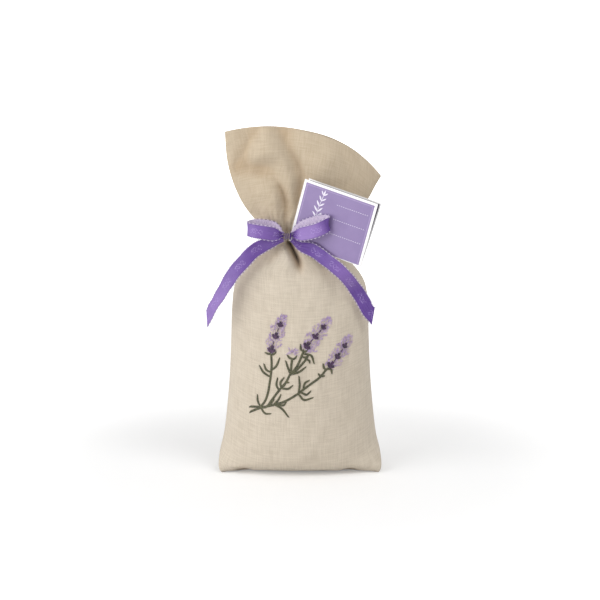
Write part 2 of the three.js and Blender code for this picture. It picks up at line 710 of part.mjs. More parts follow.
function blossom(shares) {
  const whorls = 4;
  const half = (share) => {
    const taper = Math.min(1, 0.55 + 1.8 * share, 0.3 + 1.6 * (1 - share));
    return (blossomWidth / 2) * taper * (0.78 + 0.22 * Math.cos(2 * Math.PI * whorls * share));
  };
  return floss(shares, 5 * whorls, 8, half, blossomHeight, seatGap);
}

function buds(shares) {
  const budCount = 3;
  const half = (share) => (budWidth / 2) * (0.3 + 0.7 * Math.sin(Math.PI * budCount * share) ** 2);
  const lift = seatGap + blossomHeight + seatGap;
  return floss(shares.slice(0, -1), 6 * budCount, 6, half, flossHeight, lift);
}

const sachet = new THREE.Group();

function place(parent, name, geometry, material) {
  geometry.computeVertexNormals();
  const mesh = new THREE.Mesh(geometry, material);
  mesh.name = name;
  parent.add(mesh);
  return mesh;
}

place(sachet, "pouch_front_panel", panel(front), linen);
place(sachet, "pouch_back_panel", panel(back), linen);
place(sachet, "lavender_filling", filling(), lavender);

place(sachet, "bow_pinch", pinch(), satin);
place(sachet, "bow_loop_left", loop(leftLoopShares, -1, leftLoopReach), satin);
place(sachet, "bow_loop_right", loop(rightLoopShares, 1, rightLoopReach), satin);
// The left tail leaves the bow facing forward and turns to the left on its way down
const rolled = (share, tangent) =>
  vec(0, -1, 0).applyAxisAngle(tangent, degToRad(leftTailRoll) * smoothstep(share, 0.2, 1));
const leftTail = ribbonPath(leftTailShares, -1, leftTailReach, -leftTailDrop);
place(sachet, "bow_tail_left", ribbon(leftTail, 20, rolled, startOnly, -tailCut), satin);
// The right tail leaves the bow in the tag's plane and turns to face forward below it
const withTag = (share) => {
  const turn = degToRad(tagTurn) * (1 - smoothstep(share, 0.5, 0.9));
  return vec(-Math.sin(turn), -Math.cos(turn), 0);
};
const rightTail = ribbonPath(rightTailShares, 1, rightTailReach, -rightTailDrop);
place(sachet, "bow_tail_right", ribbon(rightTail, 20, withTag, startOnly, tailCut), satin);

const binding = bindingCurve();
place(sachet, "bow_binding", wire(binding, bindingWire, 64, 6), thread);
const bindingGap = leastGap(binding, bindingWire, Math.PI * pinchRadius);
console.log(`least gap of the binding to itself: ${bindingGap.toFixed(2)} mm`);
place(sachet, "neck_tie", wire(tieCurve(), tieWire, 48, 8, true), thread);

const hole = new THREE.Group();
hole.position.set(holeShift - tieLeft, -tagStand, tieHeight);
hole.rotation.set(Math.PI / 2 + degToRad(tagTilt), 0, -degToRad(tagTurn), "ZXY");
const tag = new THREE.Group();
tag.rotation.z = -degToRad(tagRoll);
hole.add(tag);
sachet.add(hole);
place(tag, "tag_front_leaf", leaf().translate(0, 0, leafGap / 2), card);
const fold = new THREE.Group();
fold.position.y = -holeInset;
fold.rotation.x = -degToRad(tagOpening);
tag.add(fold);
place(fold, "tag_back_leaf", leaf().translate(0, holeInset, -leafGap / 2 - cardThickness), card);

place(sachet, "posy_stems", posyGreen(), greenFloss);
for (const [name, shares] of Object.entries(blossomShares)) {
  place(sachet, `blossom_${name}`, blossom(shares), lilacFloss);
  place(sachet, `buds_${name}`, buds(shares), plumFloss);
}

export default sachet;
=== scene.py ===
"""A linen lavender sachet: the cloth, ribbon, thread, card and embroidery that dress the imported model.

Metres. +Z is up, the front faces -Y, and the origin is the middle of the base, on the table.
"""

import json
import math

import bpy
import numpy as np
from bpy.props import FloatProperty, FloatVectorProperty, IntProperty, PointerProperty
from mathutils import Matrix, Vector
from mathutils.bvhtree import BVHTree
from mathutils.geometry import tessellate_polygon


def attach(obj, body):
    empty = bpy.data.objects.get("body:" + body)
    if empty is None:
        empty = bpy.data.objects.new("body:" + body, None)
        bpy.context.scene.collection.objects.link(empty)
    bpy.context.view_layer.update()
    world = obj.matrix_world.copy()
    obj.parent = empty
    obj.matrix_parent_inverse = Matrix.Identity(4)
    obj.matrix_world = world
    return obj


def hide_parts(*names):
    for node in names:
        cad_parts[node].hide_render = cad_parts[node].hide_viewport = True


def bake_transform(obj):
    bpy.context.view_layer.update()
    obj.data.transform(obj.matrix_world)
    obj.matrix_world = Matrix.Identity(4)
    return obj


bl_info = {
    "name": "Lavender sachet",
    "version": (1, 0, 0),
    "blender": (4, 5, 0),
    "location": "3D View > Sidebar > Sachet",
    "description": "Builds the cloth, bow, tag and embroidered posy of a lavender sachet",
    "category": "Add Mesh",
}

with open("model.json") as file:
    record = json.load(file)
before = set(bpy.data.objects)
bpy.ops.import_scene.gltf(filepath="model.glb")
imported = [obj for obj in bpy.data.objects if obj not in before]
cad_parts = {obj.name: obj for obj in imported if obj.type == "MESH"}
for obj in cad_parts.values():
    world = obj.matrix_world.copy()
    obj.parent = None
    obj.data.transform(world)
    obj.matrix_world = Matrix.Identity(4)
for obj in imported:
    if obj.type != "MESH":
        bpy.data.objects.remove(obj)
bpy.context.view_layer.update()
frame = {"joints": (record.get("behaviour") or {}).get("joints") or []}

MM = 0.001

# The pouch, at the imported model's sizes, but with more curl in its corners and narrower creases
BODY_WIDTH = 80 * MM
BODY_DEPTH = 36 * MM
SEAM_SETBACK = 3 * MM
CORNER_CURL = 7.5 * MM
TIE_HEIGHT = 117.5 * MM
TIE_SHIFT = -5.9 * MM
NECK_WIDTH = 21 * MM
NECK_DEPTH = 12 * MM
MOUTH_WIDTH = 77.4 * MM
MOUTH_SHIFT = 1.5 * MM
MOUTH_DROP = 21 * MM
MOUTH_RISE = 11.2 * MM
FLARE_HEIGHT = 48.3 * MM
FOLD_SPREAD = 4 * MM
FOLD_DEPTH = 4 * MM

# The bow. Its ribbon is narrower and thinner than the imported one, to leave room for the edge loops,
# and its binding has half a turn more.
RIBBON_WIDTH = 6.2 * MM
RIBBON_THICKNESS = 0.3 * MM
KNOT_STAND = 13 * MM
PINCH_LENGTH = 3.6 * MM
PINCH_RADIUS = 1.35 * MM
PINCH_FACE = 1.9 * MM
BINDING_WIRE = 0.5 * MM
BINDING_TURNS = 2.5
BINDING_PITCH = 1 * MM
BINDING_END = 4 * MM
THREAD_GAP = 0.3 * MM
BINDING_INNER = PINCH_RADIUS * 1.09 + THREAD_GAP
LEFT_LOOP_REACH = 18.9 * MM
RIGHT_LOOP_REACH = 19.4 * MM
LEFT_TAIL = (38.6 * MM, 40 * MM)
RIGHT_TAIL = (41 * MM, 39 * MM)
TAIL_CUT = 6 * MM
LEFT_TAIL_ROLL = math.radians(-50)

# The tie and the tag
TIE_WIRE = 0.9 * MM
TAG_WIDTH = 37.6 * MM
TAG_HEIGHT = 30.7 * MM
CARD_THICKNESS = 0.35 * MM
LEAF_GAP = 0.35 * MM
HOLE_RADIUS = 1.75 * MM
HOLE_INSET = 3.4 * MM
TAG_TURN = math.radians(22.1)
TAG_OPENING = math.radians(9)

# The posy
POSY_HEIGHT = 44 * MM
POSY_FOOT = (-19.2 * MM, 35 * MM)

FRONT = -1
BACK = 1

# How finely the surfaces are divided, and how far a sheet's rim stands out as a share of its thickness
PANEL_ACROSS, PANEL_ALONG = 157, 241
RIBBON_ACROSS, RIBBON_ALONG = 21, 150
STEM_POINTS, LEAF_POINTS = 40, 14
CORE_ACROSS, CORE_ALONG = 29, 40
RIM_SHARE = 0.35

# The filling: how far within the cloth, its lowest row, and its highest one as a share of the tie's
FILLING_INSET = 2.6 * MM
FILLING_ROW = 0.9
FILLING_TOP = 0.8

# The gathered cloth at the tie: how far in it reaches, and over how many rows
BUNCH_DEPTH = 7 * MM
BUNCH_ROWS = 0.85

# The uneven cloth: number of waves, and the shortest and the longest of them
WAVES = 26
WAVE_LENGTHS = (7, 26)

# Where the random draws start
PLEAT_SEED = 41
WAVE_SEED = 7
BLOSSOM_SEED = 100
BUD_SEED = 200

# The lights: the place of each and the width of its square
LIGHTS = {
    "side": ((-0.81, -0.547, 0.293), 0.9),
    "high": ((0.432, -0.432, 0.813), 0.45),
}

# Rows of the body: half width, height of the side seams, lean to the neck, height of the middle, depth
BODY_SHARES = np.array([
    [0.955, 0, 0, 0.002, 0],
    [0.985, 0.012, 0, 0.004, 0.28],
    [1.0, 0.04, 0, 0.017, 0.56],
    [0.985, 0.087, 0, 0.042, 0.82],
    [0.94, 0.15, 0, 0.088, 0.95],
    [0.902, 0.25, 0, 0.183, 1.0],
    [0.863, 0.4, 0, 0.335, 1.01],
    [0.84, 0.56, 0, 0.505, 0.97],
    [0.826, 0.69, 0, 0.645, 0.89],
    [0.785, 0.795, 0, 0.765, 0.79],
    [0.655, 0.87, 0.1, 0.858, 0.7],
    [0.49, 0.932, 0.5, 0.93, 0.6],
    [0.33, 0.975, 0.85, 0.975, 0.44],
])
# Rows of the flare: how far each seam has gone out and up to its corner, arch of the middle, depth
FLARE_SHARES = np.array([
    [0, 0, 0, 0, 0, 1.0],
    [0.27, 0.133, 0.17, 0.09, 0.22, 1.1],
    [0.49, 0.245, 0.42, 0.2, 0.42, 1.15],
    [0.67, 0.37, 0.65, 0.36, 0.6, 1.1],
    [0.85, 0.555, 0.82, 0.6, 0.74, 1.0],
    [0.96, 0.755, 0.92, 0.83, 0.87, 0.82],
    [1.0, 1.0, 1.0, 1.0, 1.0, 0.56],
])
ARCH_SKEW_SHARE = 0.3
TIE_ROW = len(BODY_SHARES)
MOUTH_ROW = TIE_ROW + len(FLARE_SHARES) - 1

# Creases and ridges: spread, depth, then the across and row of each point on the way
CREASE_SHARES = {
    FRONT: [
        [0.62, 0.98, (-0.02, 12.5), (-0.07, 13.6), (-0.11, 14.4), (-0.18, 15.2), (-0.24, 15.8), (-0.3, 16.3),
         (-0.42, 16.95)],
        [1.05, 0.98, (-0.27, 19.4), (-0.22, 18.4), (-0.16, 18.0), (-0.05, 17.45), (0.03, 16.8), (0.04, 16.0),
         (0.08, 14.6)],
        [1.1, 0.75, (-0.6, 19.3), (-0.65, 18.6), (-0.77, 17.9), (-0.86, 17.5), (-0.95, 16.9)],
        [1.0, -0.48, (0.05, 12.9), (0.03, 14.0), (-0.05, 15.3), (-0.1, 16.0), (-0.18, 17.1), (-0.3, 18.6)],
        [1.5, -0.75, (-0.2, 13.2), (-0.24, 13.8), (-0.38, 14.6), (-0.48, 15.6), (-0.58, 16.7)],
        [1.3, 0.4, (0.4, 12.8), (0.6, 15.5), (0.7, 17.3), (0.5, 18.6)],
        [0.42, 1.9, (0.03, 12.7), (-0.05, 11.6), (-0.01, 11.1), (0.02, 10.5), (0.02, 9.9)],
        [1.1, 0.35, (-0.02, 12.0), (0.05, 9.6)],
        [0.8, 0.5, (-0.12, 12.5), (-0.25, 11.6), (-0.6, 10.2)],
        [0.8, 0.3, (-0.75, 12.5), (-0.8, 9.8)],
        [0.9, 0.4, (0.5, 12.6), (0.46, 9.4)],
        [0.8, 0.35, (0.82, 12.6), (0.7, 9.6)],
        [1.2, -0.4, (-0.2, 12.2), (-0.14, 9.9)],
    ],
    BACK: [
        [0.9, 0.9, (0.05, 13.4), (0.03, 14.6), (0.16, 17.4)],
        [1.0, 0.75, (-0.5, 13.4), (-0.42, 15.0), (-0.5, 17.6)],
        [1.0, 0.65, (0.6, 13.4), (0.5, 15.4), (0.58, 18.2)],
        [1.2, -0.5, (-0.22, 13.4), (-0.1, 15.6), (-0.16, 18.4)],
        [1.2, -0.4, (0.36, 13.4), (0.3, 15.2), (0.38, 18.2)],
        [0.8, 0.8, (-0.06, 13.4), (-0.02, 11.2), (-0.1, 9.4)],
        [1.0, 0.5, (0.45, 13.4), (0.4, 9.0)],
        [1.0, 0.5, (-0.58, 13.4), (-0.5, 9.2)],
    ],
}
# Dents and puffs: across, row, spread across, spread along the rows, depth
DENT_SHARES = {
    FRONT: [
        [-0.46, 17.95, 2.2, 0.6, -1.0],
        [-0.78, 17.3, 1.5, 0.4, 0.5],
        [-0.54, 17.1, 1.5, 0.4, 0.75],
        [0.31, 17.5, 3.4, 1.3, -0.8],
        [0.05, 14.2, 1.7, 1.7, 0.28],
        [-0.68, 1.5, 0.9, 0.8, 0.9],
        [0.62, 1.5, 0.9, 0.8, 0.9],
    ],
    BACK: [
        [0.1, 16.8, 3.2, 1.0, -0.6],
        [-0.5, 1.8, 1.2, 1.0, 0.5],
        [0.52, 1.8, 1.2, 1.0, 0.5],
    ],
}

# The ribbon's way: how far out from the pinch to its reach, how far forward, and how far up or down
LEFT_LOOP_SHARES = [
    [0, 0.03, 0.048], [0.06, 0.045, 0.05], [0.185, 0.14, 0.065], [0.45, 0.23, 0.11], [0.75, 0.22, 0.15],
    [0.945, 0.14, 0.18], [1, 0.04, 0.2], [0.917, -0.06, 0.23], [0.66, -0.13, 0.24], [0.363, -0.14, 0.2],
    [0.155, -0.09, 0.13], [0.05, -0.045, 0.072], [0, -0.03, 0.055],
]
RIGHT_LOOP_SHARES = [
    [0, 0.03, 0.048], [0.06, 0.045, 0.05], [0.177, 0.15, 0.065], [0.425, 0.28, 0.12], [0.7, 0.36, 0.2],
    [0.906, 0.35, 0.29], [1, 0.27, 0.35], [0.928, 0.19, 0.38], [0.674, 0.11, 0.34], [0.398, 0.02, 0.25],
    [0.177, -0.03, 0.14], [0.05, -0.028, 0.072], [0, -0.03, 0.055],
]
LEFT_TAIL_SHARES = [
    [0, 0.01, 0.0375], [0.26, 0, 0.11], [0.39, 0.013, 0.18], [0.52, 0.013, 0.305], [0.635, 0, 0.425],
    [0.725, -0.013, 0.555], [0.825, -0.026, 0.71], [0.93, -0.04, 0.87], [1, -0.052, 1],
]
RIGHT_TAIL_SHARES = [
    [0, 0.01, 0.0375], [0.11, 0, 0.12], [0.255, 0.032, 0.164], [0.405, 0.083, 0.264], [0.53, 0.127, 0.355],
    [0.65, 0.122, 0.47], [0.755, 0.05, 0.61], [0.857, -0.025, 0.77], [0.938, -0.06, 0.92], [1, -0.085, 1],
]

# How much each strip of satin shines along its way: share of the way, shine
SHINE_SHARES = {
    "bow_loop_left": [(0, 0.1), (0.15, 0.25), (0.4, 0.6), (0.5, 0.3), (1, 0.3)],
    "bow_loop_right": [(0, 0.2), (0.12, 0.9), (0.36, 0.8), (0.46, 0.1), (1, 0.1)],
    "bow_tail_left": [(0, 0.2), (0.35, 0.1), (0.6, 0.35), (0.8, 0.8), (1, 0.8)],
    "bow_tail_right": [(0, 0.1), (0.3, 0), (0.5, 0.55), (0.62, 0.4), (0.72, 0), (1, 0)],
}

# The posy: places across and up from where its stems cross, as shares of its height
STEM_SHARES = [
    [[0.004, -0.001], [0.055, 0.073], [0.085, 0.158], [0.105, 0.266], [0.12, 0.374],
     [0.128, 0.483], [0.123, 0.606]],
    [[0.024, -0.005], [0.07, 0.011], [0.14, 0.104], [0.217, 0.212], [0.286, 0.297], [0.325, 0.374],
     [0.372, 0.428], [0.418, 0.498], [0.457, 0.591], [0.476, 0.637]],
    [[-0.108, -0.066], [0.004, -0.012], [0.14, 0.034], [0.263, 0.077], [0.41, 0.166], [0.472, 0.212],
     [0.565, 0.282], [0.665, 0.359], [0.72, 0.425], [0.75, 0.44]],
    [[-0.108, -0.008], [-0.054, -0.005], [0.012, -0.001]],
    [[0.364, 0.398], [0.426, 0.459], [0.488, 0.529], [0.522, 0.583]],
    [[0.337, 0.398], [0.344, 0.498], [0.352, 0.548]],
]
LEAF_SHARES = [
    [[0.101, 0.347], [0.039, 0.39], [-0.003, 0.459]], [[0.12, 0.394], [0.07, 0.421], [0.047, 0.479]],
    [[0.136, 0.428], [0.178, 0.467], [0.217, 0.556]], [[0.123, 0.597], [0.093, 0.597], [0.062, 0.61]],
    [[0.123, 0.597], [0.151, 0.597], [0.177, 0.616]], [[0.209, 0.197], [0.182, 0.258], [0.194, 0.336]],
    [[0.232, 0.227], [0.226, 0.289], [0.263, 0.343]], [[0.24, 0.224], [0.31, 0.224], [0.356, 0.258]],
    [[0.263, 0.258], [0.286, 0.289], [0.314, 0.289]], [[0.333, 0.382], [0.302, 0.467], [0.283, 0.529]],
    [[0.364, 0.39], [0.433, 0.413], [0.499, 0.459]], [[0.352, 0.548], [0.325, 0.564], [0.303, 0.591]],
    [[0.352, 0.548], [0.383, 0.56], [0.402, 0.583]], [[0.476, 0.63], [0.449, 0.653], [0.445, 0.707]],
    [[0.476, 0.63], [0.503, 0.633], [0.522, 0.649]], [[0.488, 0.606], [0.557, 0.583], [0.588, 0.498]],
    [[0.522, 0.575], [0.488, 0.568], [0.464, 0.575]], [[0.511, 0.544], [0.534, 0.529], [0.538, 0.506]],
    [[0.418, 0.166], [0.432, 0.258], [0.426, 0.359]], [[0.468, 0.208], [0.491, 0.282], [0.538, 0.312]],
    [[0.449, 0.181], [0.507, 0.158], [0.553, 0.193]], [[0.426, 0.158], [0.48, 0.1], [0.576, 0.123]],
    [[0.669, 0.36], [0.65, 0.37], [0.638, 0.386]], [[0.669, 0.36], [0.685, 0.355], [0.7, 0.355]],
    [[0.72, 0.425], [0.7, 0.444], [0.689, 0.489]], [[0.731, 0.432], [0.77, 0.428], [0.781, 0.382]],
    [[-0.003, 0.011], [-0.024, 0.065], [-0.027, 0.131]], [[0.012, -0.012], [0.055, -0.066], [0.116, -0.066]],
    [[0.163, 0.038], [0.24, -0.005], [0.31, -0.093]], [[0.147, 0.034], [0.201, 0.096], [0.228, 0.15]],
    [[0.194, 0.042], [0.256, 0.038], [0.288, 0.073]], [[0.085, 0.019], [0.124, 0.057], [0.155, 0.096]],
]
BLOSSOM_SHARES = {
    "left": [[0.12, 0.618], [0.136, 0.668], [0.17, 0.792], [0.225, 0.916], [0.267, 1.032]],
    "middle": [[0.488, 0.66], [0.526, 0.707], [0.611, 0.8], [0.692, 0.9], [0.766, 0.993]],
    "right": [[0.743, 0.452], [0.778, 0.486], [0.843, 0.572], [0.924, 0.68], [0.99, 0.784]],
}
# Loose tufts beside a blossom: middle, spread and number of stitches
PUFF_SHARES = {
    "middle": [([0.355, 0.61], 0.07, 46), ([0.565, 0.625], 0.055, 30)],
}
# Petals of a bud: lean in radians, half length in millimetres, stitches
BUD_PETALS = ((0.0, 2.0, 5), (-0.72, 1.45, 5), (0.72, 1.45, 5), (0.0, 1.2, 5))
BUD_SIZES = (1.0, 0.86, 0.74)
BUD_SHARES = {
    "left": [[0.132, 0.653], [0.174, 0.8], [0.225, 0.923]],
    "middle": [[0.515, 0.699], [0.607, 0.8], [0.692, 0.896]],
    "right": [[0.774, 0.483], [0.847, 0.572], [0.924, 0.68]],
}


# Numbers and curves

def bell(distance, spread):
    """1 at no distance, and falling away to 0 on both sides."""
    return np.exp(-((distance / spread) ** 2))


def notch(distance, spread):
    """A valley that is sharper at its bottom than a bell turned over."""
    return np.exp(-(np.abs(distance / spread) ** 1.3))


def smoothstep(value, low, high):
    share = np.clip((value - low) / (high - low), 0, 1)
    return share * share * (3 - 2 * share)


def lerp(a, b, share):
    """The share of the way from a to b."""
    return a + (b - a) * share


def unit(vectors):
    return vectors / np.maximum(np.linalg.norm(vectors, axis=-1, keepdims=True), 1e-12)


def run_of(line):
    """How far along a line each of its points lies."""
    return np.concatenate([[0], np.cumsum(np.linalg.norm(np.diff(line, axis=0), axis=1))])


def read_rows(table, at):
    """A table read at row numbers that need not be whole, on a smooth curve through its rows."""
    last = len(table) - 1
    row = np.clip(np.floor(at).astype(int), 0, last - 1)
    f = (at - row)[..., None]
    a, b, c, d = (table[np.clip(row + step, 0, last)] for step in (-1, 0, 1, 2))
    return b + 0.5 * f * (c - a + f * (2 * a - 5 * b + 4 * c - d + f * (3 * (b - c) + d - a)))


def smooth_path(points, count, closed=False):
    """Evenly spaced points on a smooth curve through the given ones."""
    points = np.array(points, float)
    steps = 24
    if closed:
        padded = np.concatenate([points[-1:], points, points[:2]])
    else:
        padded = np.concatenate([2 * points[:1] - points[1:2], points, 2 * points[-1:] - points[-2:-1]])
    fine = []
    for a, b, c, d in zip(padded, padded[1:], padded[2:], padded[3:]):
        gaps = [max(np.linalg.norm(q - p) ** 0.5, 1e-6) for p, q in ((a, b), (b, c), (c, d))]
        leave = ((b - a) / gaps[0] - (c - a) / (gaps[0] + gaps[1]) + (c - b) / gaps[1]) * gaps[1]
        reach = ((c - b) / gaps[1] - (d - b) / (gaps[1] + gaps[2]) + (d - c) / gaps[2]) * gaps[1]
        f = (np.arange(steps) / steps)[:, None]
        bend = 3 * (c - b) - 2 * leave - reach
        swing = 2 * (b - c) + leave + reach
        fine.append(b + f * leave + f**2 * bend + f**3 * swing)
    line = np.concatenate([*fine, points[:1] if closed else points[-1:]])
    along = run_of(line)
    wanted = np.linspace(0, along[-1], count + 1 if closed else count)
    spaced = np.stack([np.interp(wanted, along, line[:, k]) for k in range(3)], axis=1)
    return spaced[:-1] if closed else spaced


def tangents_of(line, closed=False):
    if closed:
        return unit(np.roll(line, -1, axis=0) - np.roll(line, 1, axis=0))
    return unit(np.gradient(line, axis=0))


# Meshes

def add_piece(name, points, faces, uv=None, face_slots=None, attributes=None, smooth=True):
    """A mesh object at the origin, with one uv and one value of each attribute for every point."""
    mesh = bpy.data.meshes.new(name)
    mesh.from_pydata(np.asarray(points).tolist(), [], [tuple(face) for face in faces])
    if uv is not None:
        layer = mesh.uv_layers.new(name="UVMap")
        corners = np.zeros(len(mesh.loops), np.int32)
        mesh.loops.foreach_get("vertex_index", corners)
        layer.data.foreach_set("uv", np.asarray(uv, np.float32)[corners].ravel())
    for key, values in (attributes or {}).items():
        mesh.attributes.new(key, "FLOAT", "POINT").data.foreach_set("value", np.asarray(values, np.float32))
    if face_slots is not None:
        mesh.polygons.foreach_set("material_index", np.asarray(face_slots, np.int32))
    mesh.polygons.foreach_set("use_smooth", [smooth] * len(mesh.polygons))
    mesh.update()
    piece = bpy.data.objects.new(name, mesh)
    bpy.context.scene.collection.objects.link(piece)
    return piece


def closed_sheet(name, outer, inner, uv, attributes=None):
    """A closed sheet between two grids of points. Slot 0 is its outer side, and slot 1 all the rest."""
    rows, columns = outer.shape[:2]
    layer = rows * columns
    grid = np.arange(layer).reshape(rows, columns)
    a, b, c, d = (part.ravel() for part in (grid[:-1, :-1], grid[:-1, 1:], grid[1:, 1:], grid[1:, :-1]))
    near = np.stack([a, b, c, d], axis=1)
    far = np.stack([a, d, c, b], axis=1) + layer
    border = np.concatenate([grid[0, :-1], grid[:-1, -1], grid[-1, :0:-1], grid[:0:-1, 0]])
    inward = np.concatenate([grid[1, :-1], grid[:-1, -2], grid[-2, :0:-1], grid[:0:-1, 1]])
    flat_outer, flat_inner = outer.reshape(-1, 3), inner.reshape(-1, 3)
    rim_outer, rim_inner = flat_outer[border], flat_inner[border]
    thickness = np.linalg.norm(rim_outer - rim_inner, axis=1, keepdims=True)
    middle = (rim_outer + rim_inner) / 2 + unit(rim_outer - flat_outer[inward]) * thickness * RIM_SHARE
    ring = np.arange(len(border))
    after = np.roll(ring, -1)
    upper = np.stack([border[after], border, ring + 2 * layer, after + 2 * layer], axis=1)
    lower = np.stack([after + 2 * layer, ring + 2 * layer, border + layer, border[after] + layer], axis=1)
    faces = np.concatenate([near, far, upper, lower])
    points = np.concatenate([flat_outer, flat_inner, middle])
    first = points[faces[:, 0]]
    volume = sum((first * np.cross(points[faces[:, k]], points[faces[:, k + 1]])).sum() for k in (1, 2))
    if volume < 0:
        faces = faces[:, ::-1]
    flat_uv = uv.reshape(-1, 2)
    values = {}
    for key, grid_values in (attributes or {}).items():
        flat = grid_values.ravel()
        values[key] = np.concatenate([flat, flat, flat[border]])
    slots = np.concatenate([np.zeros(len(near)), np.ones(len(far) + len(upper) + len(lower))])
    return add_piece(name, points, faces, np.concatenate([flat_uv, flat_uv, flat_uv[border]]), slots, values)


def guide_lines(name, lines, closed=False, **vectors):
    """A mesh of bare lines for a node tree to follow, with vector attributes on its points."""
    mesh = bpy.data.meshes.new(name)
    edges = []
    start = 0
    for line in lines:
        count = len(line)
        edges += [(start + k, start + (k + 1) % count) for k in range(count if closed else count - 1)]
        start += count
    mesh.from_pydata(np.concatenate(lines).tolist(), edges, [])
    for key, values in vectors.items():
        data = np.concatenate(values).astype(np.float32)
        kind, field = ("FLOAT_VECTOR", "vector") if data.ndim == 2 else ("FLOAT", "value")
        mesh.attributes.new(key, kind, "POINT").data.foreach_set(field, data.ravel())
    return mesh


# Node trees

class NodeBench:
    """Adds nodes to a tree and joins their sockets."""

    def __init__(self, tree):
        self.tree = tree

    def add(self, kind, sockets=None, **settings):
        node = self.tree.nodes.new(kind)
        for key, value in settings.items():
            setattr(node, key, value)
        for key, value in (sockets or {}).items():
            if isinstance(value, bpy.types.NodeSocket):
                self.tree.links.new(value, node.inputs[key])
            else:
                node.inputs[key].default_value = value
        return node

    def result(self, kind, sockets=None, **settings):
        """The first output of a new node."""
        return self.add(kind, sockets, **settings).outputs[0]

    def math(self, operation, a, b=0.0, c=0.0):
        return self.result("ShaderNodeMath", {0: a, 1: b, 2: c}, operation=operation)

    def times(self, a, b):
        """The product of two values."""
        return self.math("MULTIPLY", a, b)

    def mix(self, share, a, b):
        """One colour turned to another by the share. A colour is a socket or three numbers."""
        a, b = (value if isinstance(value, bpy.types.NodeSocket) else (*value, 1.0) for value in (a, b))
        return self.add("ShaderNodeMix", {0: share, 6: a, 7: b}, data_type="RGBA").outputs[2]

    def tint(self, base, mask, share, colour):
        """The base with a colour laid over it where the mask says so."""
        return self.mix(self.times(mask, share), base, colour)

    def ramp(self, value, low, high):
        """The value from low to high, turned to 0 to 1 smoothly."""
        return self.result("ShaderNodeMapRange", {0: value, 1: low, 2: high}, interpolation_type="SMOOTHSTEP")

    def two_tones(self, value, low, high, a, b):
        """The first colour where the value is low, and the second one where it is high."""
        return self.mix(self.ramp(value, low, high), a, b)

    def noise(self, vector, scale, detail=2.0):
        return self.result("ShaderNodeTexNoise", {"Vector": vector, "Scale": scale, "Detail": detail})

    def streaks(self, vector, across, along, detail=2.0):
        """Noise with a scale of its own on each of its two axes."""
        scaled = self.result("ShaderNodeMapping", {"Vector": vector, "Scale": (across, along, 1.0)})
        return self.noise(scaled, 1.0, detail)

    def parts(self, vector):
        """The three numbers of a vector."""
        return self.add("ShaderNodeSeparateXYZ", {0: vector}).outputs

    def named(self, name, data_type="FLOAT_VECTOR"):
        return self.result("GeometryNodeInputNamedAttribute", {"Name": name}, data_type=data_type)

    def attribute(self, name):
        return self.add("ShaderNodeAttribute", attribute_name=name).outputs["Fac"]

    def uv_place(self):
        return self.result("ShaderNodeUVMap", uv_map="UVMap")

    def object_place(self):
        return self.add("ShaderNodeTexCoord").outputs["Object"]

    def turned_to(self, along, out, out_axis="Z"):
        """The turn that lays X along one vector and the other axis along another."""
        return self.result(
            "FunctionNodeAxesToRotation", {0: along, 1: out}, primary_axis="X", secondary_axis=out_axis
        )

    def bead(self, sides, rings=6):
        """A sphere with a radius of 1, to be scaled to a stitch or a bud."""
        return self.result("GeometryNodeMeshUVSphere", {"Segments": sides, "Rings": rings, "Radius": 1.0})

    def placed(self, points, shape, rotation, scale=(1, 1, 1)):
        """The shape at every point."""
        return self.result("GeometryNodeInstanceOnPoints", {
            "Points": points, "Instance": shape, "Rotation": rotation, "Scale": scale,
        })

    def line(self, inputs, spacing=None):
        """The guide as a curve, with its points evenly spaced where a spacing is given."""
        curve = self.result("GeometryNodeMeshToCurve", {0: inputs["Geometry"]})
        if spacing is None:
            return curve
        return self.result("GeometryNodeResampleCurve", {0: curve, "Length": spacing}, mode="LENGTH")


def new_tree(name, **sockets):
    """An empty geometry tree with the named inputs. It returns the tree's bench and its inputs."""
    tree = bpy.data.node_groups.new(name, "GeometryNodeTree")
    tree.interface.new_socket("Geometry", in_out="INPUT", socket_type="NodeSocketGeometry")
    for label, (kind, default) in sockets.items():
        tree.interface.new_socket(label, in_out="INPUT", socket_type=kind).default_value = default
    tree.interface.new_socket("Material", in_out="INPUT", socket_type="NodeSocketMaterial")
    tree.interface.new_socket("Geometry", in_out="OUTPUT", socket_type="NodeSocketGeometry")
    bench = NodeBench(tree)
    return bench, bench.add("NodeGroupInput").outputs


def close_tree(bench, inputs, geometry):
    """Every tree ends the same way: real meshes, shaded and given their material."""
    real = bench.result("GeometryNodeRealizeInstances", {0: geometry})
    shaded = bench.result("GeometryNodeSetShadeSmooth", {0: real, 2: True})
    painted = bench.result("GeometryNodeSetMaterial", {"Geometry": shaded, "Material": inputs["Material"]})
    bench.add("NodeGroupOutput", {0: painted})
    return bench.tree


def thread_tree(name):
    """Round threads along guide lines, thinned where the guide says so."""
    bench, inputs = new_tree(name, Radius=("NodeSocketFloat", 0.0002), Sides=("NodeSocketInt", 7))
    profile = bench.result(
        "GeometryNodeCurvePrimitiveCircle", {"Resolution": inputs["Sides"], "Radius": inputs["Radius"]}
    )
    scale = bench.named("thick", "FLOAT")
    tube = bench.result(
        "GeometryNodeCurveToMesh", {0: bench.line(inputs), 1: profile, "Scale": scale, "Fill Caps": True}
    )
    return close_tree(bench, inputs, tube)


def stitch_tree(name):
    """One stitch on every guide point, laid along one vector and standing along another."""
    bench, inputs = new_tree(name, Sides=("NodeSocketInt", 6))
    turn = bench.turned_to(bench.named("along"), bench.named("out"))
    stitches = bench.placed(inputs["Geometry"], bench.bead(inputs["Sides"]), turn, bench.named("size"))
    return close_tree(bench, inputs, stitches)


